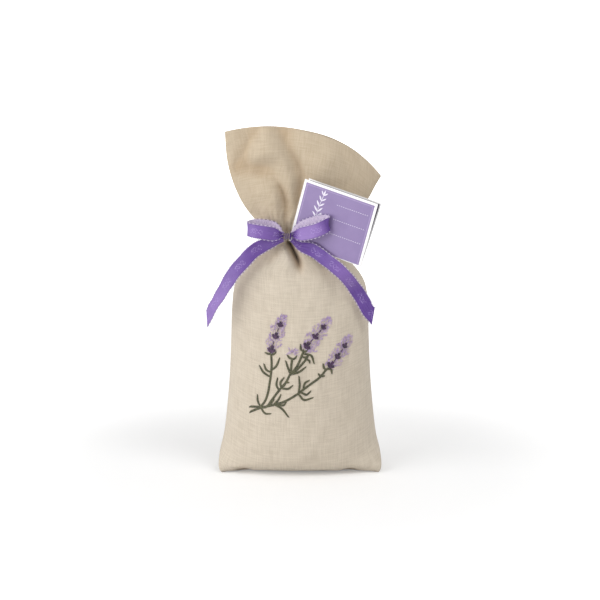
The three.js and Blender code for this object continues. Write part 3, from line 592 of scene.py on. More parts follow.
def rope_tree(name):
    """Slanting stitches one after another along guide lines."""
    bench, inputs = new_tree(
        name,
        Spacing=("NodeSocketFloat", 0.0005),
        Slant=("NodeSocketFloat", 0.4),
        Length=("NodeSocketFloat", 0.7),
        Height=("NodeSocketFloat", 0.0003),
        Sides=("NodeSocketInt", 6),
    )
    level = bench.turned_to(bench.result("GeometryNodeInputTangent"), bench.named("out"))
    slant = bench.result("FunctionNodeAxisAngleToRotation", {0: (0, 0, 1), 1: inputs["Slant"]})
    turned = bench.result("FunctionNodeRotateRotation", {0: level, 1: slant}, rotation_space="LOCAL")
    long = bench.times(bench.named("long", "FLOAT"), inputs["Length"])
    wide = bench.named("wide", "FLOAT")
    size = bench.result("ShaderNodeCombineXYZ", {0: long, 1: wide, 2: inputs["Height"]})
    rope = bench.placed(bench.line(inputs, inputs["Spacing"]), bench.bead(inputs["Sides"]), turned, size)
    return close_tree(bench, inputs, rope)


def picot_tree(name):
    """Little loops of thread side by side along guide lines. Every second one is marked."""
    bench, inputs = new_tree(
        name,
        Spacing=("NodeSocketFloat", 0.001),
        Reach=("NodeSocketFloat", 0.0005),
        Thread=("NodeSocketFloat", 0.0001),
    )
    half = bench.times(inputs["Spacing"], 0.46)
    start = bench.result("ShaderNodeCombineXYZ", {0: bench.times(half, -1.0)})
    top = bench.result("ShaderNodeCombineXYZ", {1: bench.times(inputs["Reach"], 2.0)})
    end = bench.result("ShaderNodeCombineXYZ", {0: half})
    arch = bench.result(
        "GeometryNodeCurveQuadraticBezier", {"Resolution": 6, "Start": start, "Middle": top, "End": end}
    )
    profile = bench.result("GeometryNodeCurvePrimitiveCircle", {"Resolution": 4, "Radius": inputs["Thread"]})
    picot = bench.result("GeometryNodeCurveToMesh", {0: arch, 1: profile, "Fill Caps": True})
    facing = bench.turned_to(bench.result("GeometryNodeInputTangent"), bench.named("outward"), "Y")
    second = bench.math("MODULO", bench.result("GeometryNodeInputIndex"), 2.0)
    marked = bench.result("GeometryNodeStoreNamedAttribute", {
        "Geometry": bench.line(inputs, inputs["Spacing"]), "Name": "second", "Value": second,
    }, data_type="FLOAT")
    return close_tree(bench, inputs, bench.placed(marked, picot, facing))


def scatter_tree(name):
    """Dried buds scattered over a surface and lying every way."""
    bench, inputs = new_tree(
        name,
        Density=("NodeSocketFloat", 90000.0),
        Length=("NodeSocketFloat", 0.0022),
        Seed=("NodeSocketInt", 0),
    )
    spots = bench.result("GeometryNodeDistributePointsOnFaces", {
        "Mesh": inputs["Geometry"], "Density": inputs["Density"], "Seed": inputs["Seed"],
    })
    turn = bench.result(
        "FunctionNodeRandomValue", {0: (0, 0, 0), 1: (math.tau, math.tau, math.tau), "Seed": inputs["Seed"]},
        data_type="FLOAT_VECTOR",
    )
    rotation = bench.result("FunctionNodeEulerToRotation", {0: turn})
    thin = bench.times(inputs["Length"], 0.26)
    size = bench.result("ShaderNodeCombineXYZ", {0: bench.times(inputs["Length"], 0.5), 1: thin, 2: thin})
    buds = bench.placed(spots, bench.bead(5, 5), rotation, size)
    both = bench.add("GeometryNodeJoinGeometry", {0: buds})
    bench.tree.links.new(inputs["Geometry"], both.inputs[0])
    return close_tree(bench, inputs, both.outputs[0])


TREES = {
    "threads": thread_tree,
    "stitches": stitch_tree,
    "rope": rope_tree,
    "picots": picot_tree,
    "scatter": scatter_tree,
}


def grown(name, guide, tree_name, **inputs):
    """A plain mesh object that a node tree makes from a guide mesh."""
    tree = bpy.data.node_groups.get(tree_name) or TREES[tree_name](tree_name)
    carrier = bpy.data.objects.new(f"{name}_guide", guide)
    bpy.context.scene.collection.objects.link(carrier)
    modifier = carrier.modifiers.new("shape", "NODES")
    modifier.node_group = tree
    for socket in tree.interface.items_tree:
        if socket.in_out == "INPUT" and socket.name in inputs:
            modifier[socket.identifier] = inputs[socket.name]
    evaluated = carrier.evaluated_get(bpy.context.evaluated_depsgraph_get())
    mesh = bpy.data.meshes.new_from_object(evaluated)
    mesh.name = name
    bpy.data.objects.remove(carrier)
    piece = bpy.data.objects.new(name, mesh)
    bpy.context.scene.collection.objects.link(piece)
    return piece


# Finishes

def new_finish(name, roughness, sheen=0.0, sheen_roughness=0.5):
    material = bpy.data.materials.new(name)
    material.use_nodes = True
    shader = material.node_tree.nodes["Principled BSDF"]
    shader.inputs["Roughness"].default_value = roughness
    shader.inputs["Sheen Weight"].default_value = sheen
    shader.inputs["Sheen Roughness"].default_value = sheen_roughness
    return material, NodeBench(material.node_tree), shader


def colour_and_bump(bench, shader, colour, height, depth):
    """Joins a colour and a height in metres to the shader."""
    bench.tree.links.new(colour, shader.inputs["Base Color"])
    bump = bench.add("ShaderNodeBump", {"Height": height, "Distance": depth, "Strength": 1.0})
    bench.tree.links.new(bump.outputs[0], shader.inputs["Normal"])


def linen_finish(pouch):
    """Plain-woven linen: crossing threads with slubs and flecks, a painted warm shade in the folds, and a
    painted darker shade above the tie.
    """
    material, bench, shader = new_finish("linen", 0.9, sheen=0.15)
    uv = bench.uv_place()
    place = bench.parts(uv)
    turn = math.pi / pouch.weave_pitch
    warp = bench.math("SINE", bench.times(place[0], turn))
    weft = bench.math("SINE", bench.times(place[1], turn))
    over = bench.math("MULTIPLY_ADD", bench.times(warp, weft), 0.5, 0.5)
    under = bench.math("SUBTRACT", 1.0, over)
    warp_height = bench.times(bench.math("ABSOLUTE", warp), over)
    weft_height = bench.times(bench.math("ABSOLUTE", weft), under)
    weave = bench.math("MAXIMUM", warp_height, weft_height)
    pick = 0.8 / pouch.weave_pitch
    slub_run = 1 / (9 * MM)
    warp_slub = bench.streaks(uv, pick, slub_run, 3.0)
    weft_slub = bench.streaks(uv, slub_run, pick, 3.0)
    slubs = bench.math("ADD", bench.times(warp_slub, over), bench.times(weft_slub, under))
    cloudy = bench.noise(uv, 1 / (14 * MM), 3.0)
    fleck = bench.ramp(bench.streaks(uv, 1 / (1.1 * MM), 1 / (0.5 * MM), 1.0), 0.7, 0.78)
    base = bench.two_tones(slubs, 0.3, 0.7, pouch.shade_colour, pouch.linen_colour)
    base = bench.tint(base, cloudy, 0.22, pouch.shade_colour)
    base = bench.tint(base, fleck, 0.35, pouch.fleck_colour)
    # Painted shade: above the tie the linen turns to a darker copy of itself, for the flare that gets less
    # light than the body
    flare = bench.two_tones(slubs, 0.3, 0.7, pouch.flare_shaded_threads, pouch.flare_shaded_colour)
    base = bench.tint(base, bench.attribute("flare"), 0.9, flare)
    # Painted shade: a warm tone in the folds and pleats, and a dark one at the bottom of the deepest folds
    base = bench.tint(base, bench.attribute("fold"), 0.45, pouch.fold_shade_colour)
    base = bench.tint(base, bench.attribute("deep"), 0.75, pouch.deep_fold_shade_colour)
    height = bench.math("MULTIPLY_ADD", slubs, 0.5, weave)
    colour_and_bump(bench, shader, base, height, pouch.weave_pitch * 0.16)
    return material


def satin_finish(bow):
    """The ribbon's right side: satin warp lines, a woven selvedge, and short runs of fine tendrils."""
    material, bench, shader = new_finish("satin_face", 0.36, sheen=0.25, sheen_roughness=0.35)
    uv = bench.uv_place()
    place = bench.parts(uv)
    along, across = place[0], place[1]
    streak = bench.streaks(uv, 1 / (5 * MM), 1 / (0.14 * MM))
    base = bench.two_tones(streak, 0.3, 0.7, bow.shade_colour, bow.satin_colour)
    base = bench.tint(base, bench.attribute("shine"), 0.6, bow.shine_colour)
    phase = bench.times(along, math.tau / bow.motif_length)
    motif = 0.0
    for turns, start, reach in ((3.0, 0.0, 0.17), (4.0, 1.9, 0.12), (2.0, 4.0, 0.2)):
        turn = bench.math("MULTIPLY_ADD", phase, turns, start)
        tendril = bench.times(bench.math("SINE", turn), RIBBON_WIDTH * reach)
        off = bench.math("ABSOLUTE", bench.math("SUBTRACT", across, tendril))
        drawn = bench.math("SUBTRACT", 1.0, bench.ramp(off, 0.05 * MM, 0.26 * MM))
        motif = bench.math("MAXIMUM", motif, drawn)
    runs = bench.ramp(bench.math("SINE", phase), -0.35, 0.15)
    worn = bench.ramp(bench.noise(uv, 1 / (0.6 * MM)), 0.35, 0.6)
    motif = bench.times(bench.times(motif, runs), worn)
    base = bench.tint(base, motif, 0.75, bow.motif_colour)
    selvedge = bench.ramp(bench.math("ABSOLUTE", across), RIBBON_WIDTH * 0.425, RIBBON_WIDTH * 0.47)
    base = bench.tint(base, selvedge, 0.45, bow.shade_colour)
    rib = bench.math("SINE", bench.times(across, math.tau / (0.28 * MM)))
    height = bench.math("ADD", bench.times(rib, 0.3), bench.math("ADD", streak, motif))
    colour_and_bump(bench, shader, base, height, 0.035 * MM)
    return material


def reverse_finish(bow):
    """The ribbon's wrong side: pale, matt and crossed by weft floats."""
    material, bench, shader = new_finish("satin_back", 0.6, sheen=0.2)
    uv = bench.uv_place()
    floats = bench.streaks(uv, 1 / (0.3 * MM), 1 / (1.4 * MM))
    base = bench.two_tones(floats, 0.35, 0.65, bow.satin_colour, bow.reverse_colour)
    base = bench.mix(0.66, base, bow.reverse_colour)
    colour_and_bump(bench, shader, base, floats, 0.08 * MM)
    return material


def fibre_finish(name, light, dark, roughness=0.55, sheen=0.3, run=0.5 * MM):
    """Thread or floss: tones that change from stitch to stitch, and fine fibre lines."""
    material, bench, shader = new_finish(name, roughness, sheen=sheen)
    where = bench.object_place()
    tone = bench.noise(where, 1 / run, 1.0)
    hair = bench.noise(where, 1 / (0.09 * MM))
    base = bench.two_tones(tone, 0.35, 0.65, dark, light)
    colour_and_bump(bench, shader, base, hair, 0.04 * MM)
    return material


def picot_finish(bow):
    """The edge thread: one loop pale, the next one dark."""
    material, bench, shader = new_finish("picot_thread", 0.5, sheen=0.3)
    where = bench.object_place()
    hair = bench.noise(where, 1 / (0.09 * MM))
    base = bench.mix(bench.attribute("second"), bow.edge_colour, bow.shade_colour)
    base = bench.tint(base, hair, 0.4, bow.motif_colour)
    colour_and_bump(bench, shader, base, hair, 0.04 * MM)
    return material


def card_finish(name, tag, border=0.0, ink_colour=None, ink_shade=None):
    """Coated card, bare or with a printed field inside a border and a hairline."""
    material, bench, shader = new_finish(name, 0.42)
    uv = bench.uv_place()
    grain = bench.noise(uv, 1 / (0.25 * MM), 3.0)
    base = bench.tint(tag.card_colour, grain, 0.12, tag.card_shade)
    if ink_colour is not None:
        place = bench.parts(uv)
        left = bench.math("ADD", place[0], HOLE_INSET)
        right = bench.math("SUBTRACT", TAG_WIDTH - HOLE_INSET, place[0])
        top = bench.math("SUBTRACT", TAG_HEIGHT - HOLE_INSET, place[1])
        from_edge = bench.math("MINIMUM", bench.math("MINIMUM", left, right), top)
        field = bench.ramp(from_edge, border, border + 0.12 * MM)
        soft = bench.noise(uv, 1 / (9 * MM), 3.0)
        ink = bench.two_tones(soft, 0.35, 0.7, ink_colour, ink_shade)
        hairline = bench.math("ABSOLUTE", bench.math("SUBTRACT", from_edge, border + 0.8 * MM))
        line = bench.math("SUBTRACT", 1.0, bench.ramp(hairline, 0.08 * MM, 0.2 * MM))
        ink = bench.tint(ink, line, 0.6, tag.hairline_colour)
        base = bench.mix(field, base, ink)
    colour_and_bump(bench, shader, base, grain, 0.012 * MM)
    return material


def bud_finish(filling_colour, grey_colour):
    """Dried buds, some of them grey as stalks."""
    material, bench, shader = new_finish("dried_buds", 0.85)
    where = bench.object_place()
    tone = bench.noise(where, 1 / (1.6 * MM))
    base = bench.two_tones(tone, 0.35, 0.65, filling_colour, grey_colour)
    colour_and_bump(bench, shader, base, bench.noise(where, 1 / (0.2 * MM)), 0.1 * MM)
    return material


# The pouch is read by a row number, from 0 at the bottom seam to the mouth, and by a place across each row,
# from -1 at the left seam to 1 at the right one.

def pouch_table():
    """Rows of the pouch in metres: left seam, right seam, rise of the middle, and depth."""
    wide, seam_up, lean, middle_up, deep = BODY_SHARES.T
    body = [
        TIE_SHIFT * lean - BODY_WIDTH / 2 * wide,
        TIE_HEIGHT * seam_up,
        TIE_SHIFT * lean + BODY_WIDTH / 2 * wide,
        TIE_HEIGHT * seam_up,
        TIE_HEIGHT * (middle_up - seam_up),
        BODY_DEPTH / 2 * deep,
    ]
    half_mouth = math.sqrt((MOUTH_WIDTH / 2) ** 2 - (MOUTH_DROP / 2) ** 2)
    left_out, left_up, right_out, right_up, arch, deep = FLARE_SHARES.T
    flare = [
        lerp(TIE_SHIFT - NECK_WIDTH / 2, MOUTH_SHIFT - half_mouth, left_out),
        TIE_HEIGHT + FLARE_HEIGHT * left_up,
        lerp(TIE_SHIFT + NECK_WIDTH / 2, MOUTH_SHIFT + half_mouth, right_out),
        TIE_HEIGHT + (FLARE_HEIGHT - MOUTH_DROP) * right_up,
        MOUTH_RISE * arch,
        NECK_DEPTH / 2 * deep,
    ]
    return np.concatenate([np.stack(body, axis=1), np.stack(flare, axis=1)])


POUCH_TABLE = pouch_table()


def pressed_in(across, at, half_row, side):
    """How deep the creases, dents and puffs press the cloth in at each place."""
    depth = np.zeros(np.broadcast(across, at).shape)
    for spread, deep, *way in CREASE_SHARES[side]:
        places, rows = np.array(way if way[-1][1] > way[0][1] else way[::-1]).T
        run = (at - way[0][1]) / (way[-1][1] - way[0][1])
        # A crease begins at once and runs out slowly
        fade = smoothstep(run, -0.12, 0.12) * (1 - smoothstep(run, 0.7, 1.06))
        off = (across - np.interp(at, rows, places)) * half_row
        profile = notch if deep > 0 else bell
        depth += FOLD_DEPTH * deep * fade * profile(off, FOLD_SPREAD * spread)
    for place_across, place_row, spread, rows, deep in DENT_SHARES[side]:
        near = bell((across - place_across) * half_row, FOLD_SPREAD * spread)
        depth += FOLD_DEPTH * deep * near * bell(at - place_row, rows)
    return depth


def gathered_in(across, at, side, pouch):
    """The fine pleats that the tie draws into the cloth, deepest at the tie."""
    random = np.random.default_rng(PLEAT_SEED + side)
    depth = np.zeros(np.broadcast(across, at).shape)
    for k in range(pouch.pleats):
        middle = -0.95 + 1.9 * (k + 0.5 + random.uniform(-0.3, 0.3)) / pouch.pleats
        spread = random.uniform(0.022, 0.04)
        down, up = random.uniform(1.2, 3.6), random.uniform(1.5, 4.4)
        strength = random.uniform(0.45, 1)
        along = np.where(at < TIE_ROW, (TIE_ROW - at) / down, (at - TIE_ROW) / up)
        fade = np.clip(1 - along, 0, 1) ** 1.4
        width = spread * (1 + 0.7 * along)
        depth += strength * fade * bell(across - middle * (1 + 0.03 * along), width)
    return depth * pouch.pleat_depth


def seam_behind(x, z):
    """How far behind the middle the two panels meet. At the bottom corners they meet before it."""
    up = z / TIE_HEIGHT
    behind = SEAM_SETBACK * smoothstep(up, 0, 0.09) * (1 - smoothstep(up, 0.24, 0.82))
    return behind - CORNER_CURL * (x / (BODY_WIDTH / 2)) ** 4 * (1 - smoothstep(up, 0.01, 0.13))


def pouch_points(across, at, side, relief=None):
    """Points of the cloth's outer side. relief adds to how deep the cloth is pressed in."""
    left_x, left_z, right_x, right_z, rise, depth = np.moveaxis(read_rows(POUCH_TABLE, at), -1, 0)
    blend = (across + 1) / 2
    inward = np.maximum(1 - across**2, 0)
    # A row's arch is flat but for its ends low on the body, and round from the sixth row up
    arch_power = lerp(4, 1.2, smoothstep(at, 1, 6))
    skew = 1 + ARCH_SKEW_SHARE * across * smoothstep(at, TIE_ROW, MOUTH_ROW)
    arch = (1 - np.abs(across) ** (2 * arch_power)) * skew
    # A roundness of a half makes a cut across the pouch an ellipse
    roundness = lerp(0.56, 0.5, smoothstep(at, 9, TIE_ROW))
    x = lerp(left_x, right_x, blend)
    z = np.maximum(lerp(left_z, right_z, blend) + rise * arch, 0)
    swell = depth * (1 - side * 2 * seam_behind(0, z) / BODY_DEPTH) * inward**roundness
    half_row = (right_x - left_x) / 2
    pressed = pressed_in(across, at, half_row, side)
    if relief is not None:
        pressed = pressed + relief
    # Creases fade out at the seams and stop short of the other panel
    pushed = swell - pressed * smoothstep(inward, 0, 0.4)
    least = np.minimum(swell, 1.2 * MM)
    return np.stack([x, seam_behind(x, z) + side * np.maximum(pushed, least), z], axis=-1)


def grid_normals(points, side):
    """Unit vectors straight out of a grid of points."""
    across = np.gradient(points, axis=1)
    along = np.gradient(points, axis=0)
    return unit(-side * np.cross(across, along))


def flat_places(points):
    """Where each point of a grid lies on the flat cut, in metres from the middle of its lower edge."""
    middle = points.shape[1] // 2
    steps_across = np.linalg.norm(np.diff(points, axis=1), axis=2)
    across = np.concatenate([np.zeros((len(points), 1)), np.cumsum(steps_across, axis=1)], axis=1)
    across -= across[:, middle : middle + 1]
    along = run_of(points[:, middle])
    return np.stack([across, np.broadcast_to(along[:, None], across.shape)], axis=2)


def panel_grid(side, pouch):
    """The outer side of one panel as a grid of points, how far in a fold each lies as masks for the painted
    fold shade, and where it was read.
    """
    even = np.linspace(-1, 1, PANEL_ACROSS)
    across = lerp(even, np.sin(even * math.pi / 2), 0.62)
    trial = np.linspace(0, MOUTH_ROW, 400)
    spine = pouch_points(np.zeros_like(trial), trial, side)
    length = run_of(spine)
    near_tie = smoothstep(trial, TIE_ROW - 3, TIE_ROW + 2)
    weight = length / length[-1] + 0.25 * near_tie + 0.12 * trial / MOUTH_ROW
    at = np.interp(np.linspace(0, weight[-1], PANEL_ALONG), weight, trial)
    across, at = np.meshgrid(across, at)
    gathers = gathered_in(across, at, side, pouch)
    relief = gathers
    random = np.random.default_rng(WAVE_SEED + side)
    for _ in range(WAVES):
        heading = random.uniform(0, math.tau)
        wave = random.uniform(*WAVE_LENGTHS) * MM
        phase = random.uniform(0, math.tau)
        travel = across * 40 * MM * math.cos(heading) + at * 9 * MM * math.sin(heading)
        relief = relief + pouch.unevenness * 0.2 * np.sin(travel * math.tau / wave + phase)
    points = pouch_points(across, at, side, relief)
    half_row = (POUCH_TABLE[:, 2] - POUCH_TABLE[:, 0]) / 2
    folds = pressed_in(across, at, np.interp(at, np.arange(len(half_row)), half_row), side)
    # Masks for the painted shade: the bottoms of the deepest folds, then all folds and the pleats at the tie
    deep = np.clip(folds / FOLD_DEPTH - 1, 0, 1)
    folds = folds / FOLD_DEPTH + gathers / pouch.pleat_depth * 0.5
    return points, {"fold": np.clip(folds, 0, 1), "deep": deep}, across, at


def inside_of(outer, side, inset):
    """A grid of points the inset within the cloth, above the table and on its own side of the seams."""
    inner = outer - grid_normals(outer, side) * inset
    inner[..., 2] = np.maximum(inner[..., 2], 0)
    seam = seam_behind(inner[..., 0], inner[..., 2])
    inner[..., 1] = np.minimum(inner[..., 1], seam) if side == FRONT else np.maximum(inner[..., 1], seam)
    return inner


def make_panel(side, pouch):
    """One panel of the pouch. In the middle of the neck it fills its half, as gathered cloth does."""
    outer, folds, across, at = panel_grid(side, pouch)
    from_seam = smoothstep(1 - np.abs(across), 0.12, 0.5)
    bunched = bell(at - TIE_ROW, BUNCH_ROWS) * BUNCH_DEPTH * from_seam
    inner = inside_of(outer, side, np.maximum(pouch.cloth_thickness, bunched)[..., None])
    name = "linen_front" if side == FRONT else "linen_back"
    # Where the flare's painted shade comes in, from just below the tie
    flare = smoothstep(at, TIE_ROW - 1, TIE_ROW + 1.5)
    return closed_sheet(name, outer, inner, flat_places(outer), {**folds, "flare": flare})


def surface_of(piece):
    mesh = piece.data
    points = [vertex.co.copy() for vertex in mesh.vertices]
    return BVHTree.FromPolygons(points, [list(face.vertices) for face in mesh.polygons])


def on_cloth(surface, places):
    """The points of the front panel behind places of the front view, and the ways straight out of it."""
    points, outs = [], []
    for x, z in places:
        hit, normal, _, _ = surface.ray_cast(Vector((x, -0.1, z)), Vector((0, 1, 0)))
        if hit is None:
            raise RuntimeError(f"no cloth behind {x:.4f}, {z:.4f}")
        points.append(hit)
        outs.append(normal)
    return np.array(points), unit(np.array(outs))


# Settings

def length_setting(name, description, default):
    return FloatProperty(name=name, description=description, default=default, unit="LENGTH")


def colour_setting(name, description, *default):
    return FloatVectorProperty(name=name, description=description, default=default, subtype="COLOR")


class PouchSettings(bpy.types.PropertyGroup):
    """Sizes and colours of the linen pouch and its filling."""

    cloth_thickness: length_setting("Cloth thickness", "Thickness of the linen", 0.6 * MM)
    flat_width: length_setting("Cut width", "Width of one panel before sewing", 86 * MM)
    flat_length: length_setting("Cut length", "Length of one panel before sewing", 175 * MM)
    weave_pitch: length_setting("Weave pitch", "From one thread to the next", 0.55 * MM)
    pleats: IntProperty(name="Pleats", description="Fine pleats in each panel at the tie", default=15)
    pleat_depth: length_setting("Pleat depth", "Depth of the fine pleats at the tie", 1 * MM)
    unevenness: length_setting("Unevenness", "How far the cloth strays from smooth", 0.25 * MM)
    linen_colour: colour_setting("Linen", "Main colour of the linen", 0.69, 0.61, 0.5)
    shade_colour: colour_setting("Linen shade", "Darker threads of the linen", 0.56, 0.485, 0.385)
    fleck_colour: colour_setting("Flecks", "Small flecks in the linen", 0.42, 0.3, 0.19)
    # Painted shade in the folds: warm, and darker at the bottom of the deepest ones
    fold_shade_colour: colour_setting("Folds", "Warmer tone deep in the folds", 0.5, 0.34, 0.19)
    deep_fold_shade_colour: colour_setting("Deep folds", "Tone at the bottom of the deepest folds", 0.1, 0.065, 0.04)
    # Painted shade: a darker copy of the linen and its threads for the flare above the tie, which is the same
    # linen as the body
    flare_shaded_colour: colour_setting("Flare", "Linen above the tie, where the cloth is single", 0.58, 0.48, 0.35)
    flare_shaded_threads: colour_setting("Flare shade", "Darker threads above the tie", 0.49, 0.39, 0.27)
    bud_colour: colour_setting("Lavender", "Dried buds", 0.17, 0.13, 0.26)
    stalk_colour: colour_setting("Stalks", "Dried stalks among the buds", 0.3, 0.29, 0.2)


class BowSettings(bpy.types.PropertyGroup):
    """Sizes and colours of the ribbon bow and the threads."""

    picot_pitch: length_setting("Picot pitch", "From one edge loop to the next", 0.95 * MM)
    picot_reach: length_setting("Picot reach", "How far the edge loops stand out", 0.45 * MM)
    picot_thread: length_setting("Picot thread", "Half the thickness of the edge's thread", 0.11 * MM)
    motif_length: length_setting("Tendril repeat", "From one run of woven tendrils to the next", 11 * MM)
    satin_colour: colour_setting("Satin", "Right side of the ribbon", 0.138, 0.055, 0.33)
    shade_colour: colour_setting("Satin shade", "Darker lines of the satin", 0.078, 0.027, 0.215)
    motif_colour: colour_setting("Tendrils", "Woven tendrils and picots", 0.44, 0.32, 0.66)
    shine_colour: colour_setting("Shine", "Right side where its bend catches the light", 0.38, 0.24, 0.6)
    reverse_colour: colour_setting("Reverse", "Wrong side of the ribbon", 0.62, 0.53, 0.67)
    edge_colour: colour_setting("Edge loops", "Pale thread of the edge", 0.8, 0.73, 0.85)
    thread_colour: colour_setting("Thread", "Tie and binding", 0.15, 0.12, 0.09)


class TagSettings(bpy.types.PropertyGroup):
    """Sizes and colours of the folded card tag."""

    border: length_setting("Border", "White border round the print", 1.15 * MM)
    inside_border: length_setting("Inside border", "Pale border round the print inside", 0.6 * MM)
    card_colour: colour_setting("Card", "Bare card", 0.94, 0.93, 0.93)
    card_shade: colour_setting("Card shade", "Grain of the bare card", 0.75, 0.74, 0.74)
    ink_colour: colour_setting("Print", "Printed field", 0.27, 0.2, 0.4)
    ink_shade: colour_setting("Print shade", "Cloudy parts of the printed field", 0.245, 0.18, 0.37)
    # A dark field inside the folded card; it makes the gap seen between the two leaves dark
    inside_colour: colour_setting("Inside", "Printed field inside the folded card", 0.05, 0.035, 0.07)
    hairline_colour: colour_setting("Hairline", "Fine line inside the border", 0.46, 0.38, 0.6)
    ornament_colour: colour_setting("Ornament", "Printed sprig and ruled lines", 0.82, 0.78, 0.88)


class PosySettings(bpy.types.PropertyGroup):
    """Sizes and colours of the embroidered posy."""

    floss: length_setting("Floss", "Thickness of one strand as it lies", 0.42 * MM)
    stem_width: length_setting("Stem width", "Width of a stem", 1.45 * MM)
    leaf_width: length_setting("Leaf width", "Width of a leaf", 1.4 * MM)
    blossom_width: length_setting("Blossom width", "Width of a blossom", 8.2 * MM)
    blossom_stitches: IntProperty(
        name="Blossom stitches", description="Stitches in each blossom", default=320
    )
    green_colour: colour_setting("Green", "Stems and leaves", 0.115, 0.112, 0.05)
    dark_green_colour: colour_setting("Dark green", "Shaded strands of the green", 0.03, 0.03, 0.013)
    lilac_colour: colour_setting("Lilac", "Blossoms", 0.6, 0.46, 0.69)
    dark_lilac_colour: colour_setting("Dark lilac", "Shaded strands of the blossoms", 0.42, 0.29, 0.54)
    plum_colour: colour_setting("Plum", "Buds", 0.06, 0.018, 0.068)
    dark_plum_colour: colour_setting("Dark plum", "Shaded strands of the buds", 0.022, 0.007, 0.03)


class StageSettings(bpy.types.PropertyGroup):
    """The camera, the floor and the light."""

    distance: length_setting("Camera distance", "From the camera to the pouch", 700 * MM)
    elevation: FloatProperty(
        name="Camera elevation", description="How far the camera looks down", default=math.radians(10),
        subtype="ANGLE",
    )
    aim_height: length_setting("Aim height", "Height that the camera looks at", 84.7 * MM)
    lens: FloatProperty(name="Lens", description="Focal length in millimetres", default=86.6)
    side_power: FloatProperty(
        name="Side light", description="Power of the low soft light on the left", default=7.1, unit="POWER"
    )
    high_power: FloatProperty(
        name="High light", description="Power of the light high on the right", default=2.3, unit="POWER"
    )
    world_strength: FloatProperty(
        name="World light", description="Strength of the light all round", default=0.6
    )
    floor_colour: colour_setting("Floor", "Floor and backdrop", 0.85, 0.85, 0.85)


SETTINGS = {
    "sachet_pouch": PouchSettings,
    "sachet_bow": BowSettings,
    "sachet_tag": TagSettings,
    "sachet_posy": PosySettings,
    "sachet_stage": StageSettings,
}


# Pieces

def dress(piece, body, slot, *nodes, materials):
    """Gives a piece its materials, the body that it rides on and the nodes that it stands for. Its slot is
    not used.
    """
    held = piece.data.materials
    for number, material in enumerate(materials):
        if number < len(held):
            held[number] = material
        else:
            held.append(material)
    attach(piece, body)
    if nodes:
        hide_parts(*nodes)
    return piece


class SACHET_OT_pouch(bpy.types.Operator):
    """Sew the two linen panels"""

    bl_idname = "sachet.pouch"
    bl_label = "Linen panels"

    def execute(self, context):
        pouch = context.scene.sachet_pouch
        linen = linen_finish(pouch)
        for side, node in ((FRONT, "pouch_front_panel"), (BACK, "pouch_back_panel")):
            panel = make_panel(side, pouch)
            dress(panel, "sachet", "linen", node, materials=[linen, linen])
        return {"FINISHED"}


class SACHET_OT_filling(bpy.types.Operator):
    """Pack the dried lavender into the pouch"""

    bl_idname = "sachet.filling"
    bl_label = "Lavender filling"

    def execute(self, context):
        pouch = context.scene.sachet_pouch
        rows = np.linspace(FILLING_ROW, TIE_ROW * FILLING_TOP, CORE_ALONG)
        places = np.sin(np.linspace(-1, 1, CORE_ACROSS + 2)[1:-1] * math.pi / 2)
        across, at = np.meshgrid(places, rows)
        front, back = (
            inside_of(pouch_points(across, at, side), side, FILLING_INSET) for side in (FRONT, BACK)
        )
        core = closed_tube("filling_core", np.concatenate([front, back[:, ::-1]], axis=1))
        buds = bud_finish(pouch.bud_colour, pouch.stalk_colour)
        filling = grown("filling", core.data, "scatter", Material=buds)
        bpy.data.objects.remove(core)
        dress(filling, "sachet", "dried_lavender", "lavender_filling", materials=list(filling.data.materials))
        return {"FINISHED"}


def closed_tube(name, rings):
    """A closed solid through a grid of rings, with a fan at each end."""
    count, sides = rings.shape[:2]
    grid = np.arange(count * sides).reshape(count, sides)
    after = np.roll(grid, -1, axis=1)
    walls = np.stack([grid[:-1], after[:-1], after[1:], grid[1:]], axis=-1).reshape(-1, 4)
    ends = rings[[0, -1]].mean(axis=1)
    low, high = count * sides, count * sides + 1
    points = np.concatenate([rings.reshape(-1, 3), ends])
    faces = [tuple(face) for face in walls]
    faces += [(after[0, k], grid[0, k], low) for k in range(sides)]
    faces += [(grid[-1, k], after[-1, k], high) for k in range(sides)]
    volume = 0.0
    for face in faces:
        corners = points[list(face)]
        for k in range(1, len(face) - 1):
            volume += float(np.dot(corners[0], np.cross(corners[k], corners[k + 1])))
    if volume < 0:
        faces = [tuple(reversed(face)) for face in faces]
    return add_piece(name, points, faces)


KNOT = np.array([TIE_SHIFT, -KNOT_STAND, TIE_HEIGHT])


def ribbon_line(shares, direction, reach, rise):
    """The middle line of a loop or tail, from its shares of the reach and the rise."""
    out, forward, up = np.array(shares).T
    points = np.stack([direction * lerp(PINCH_FACE, reach, out), -reach * forward, rise * up], axis=1)
    return smooth_path(points + KNOT, RIBBON_ALONG)


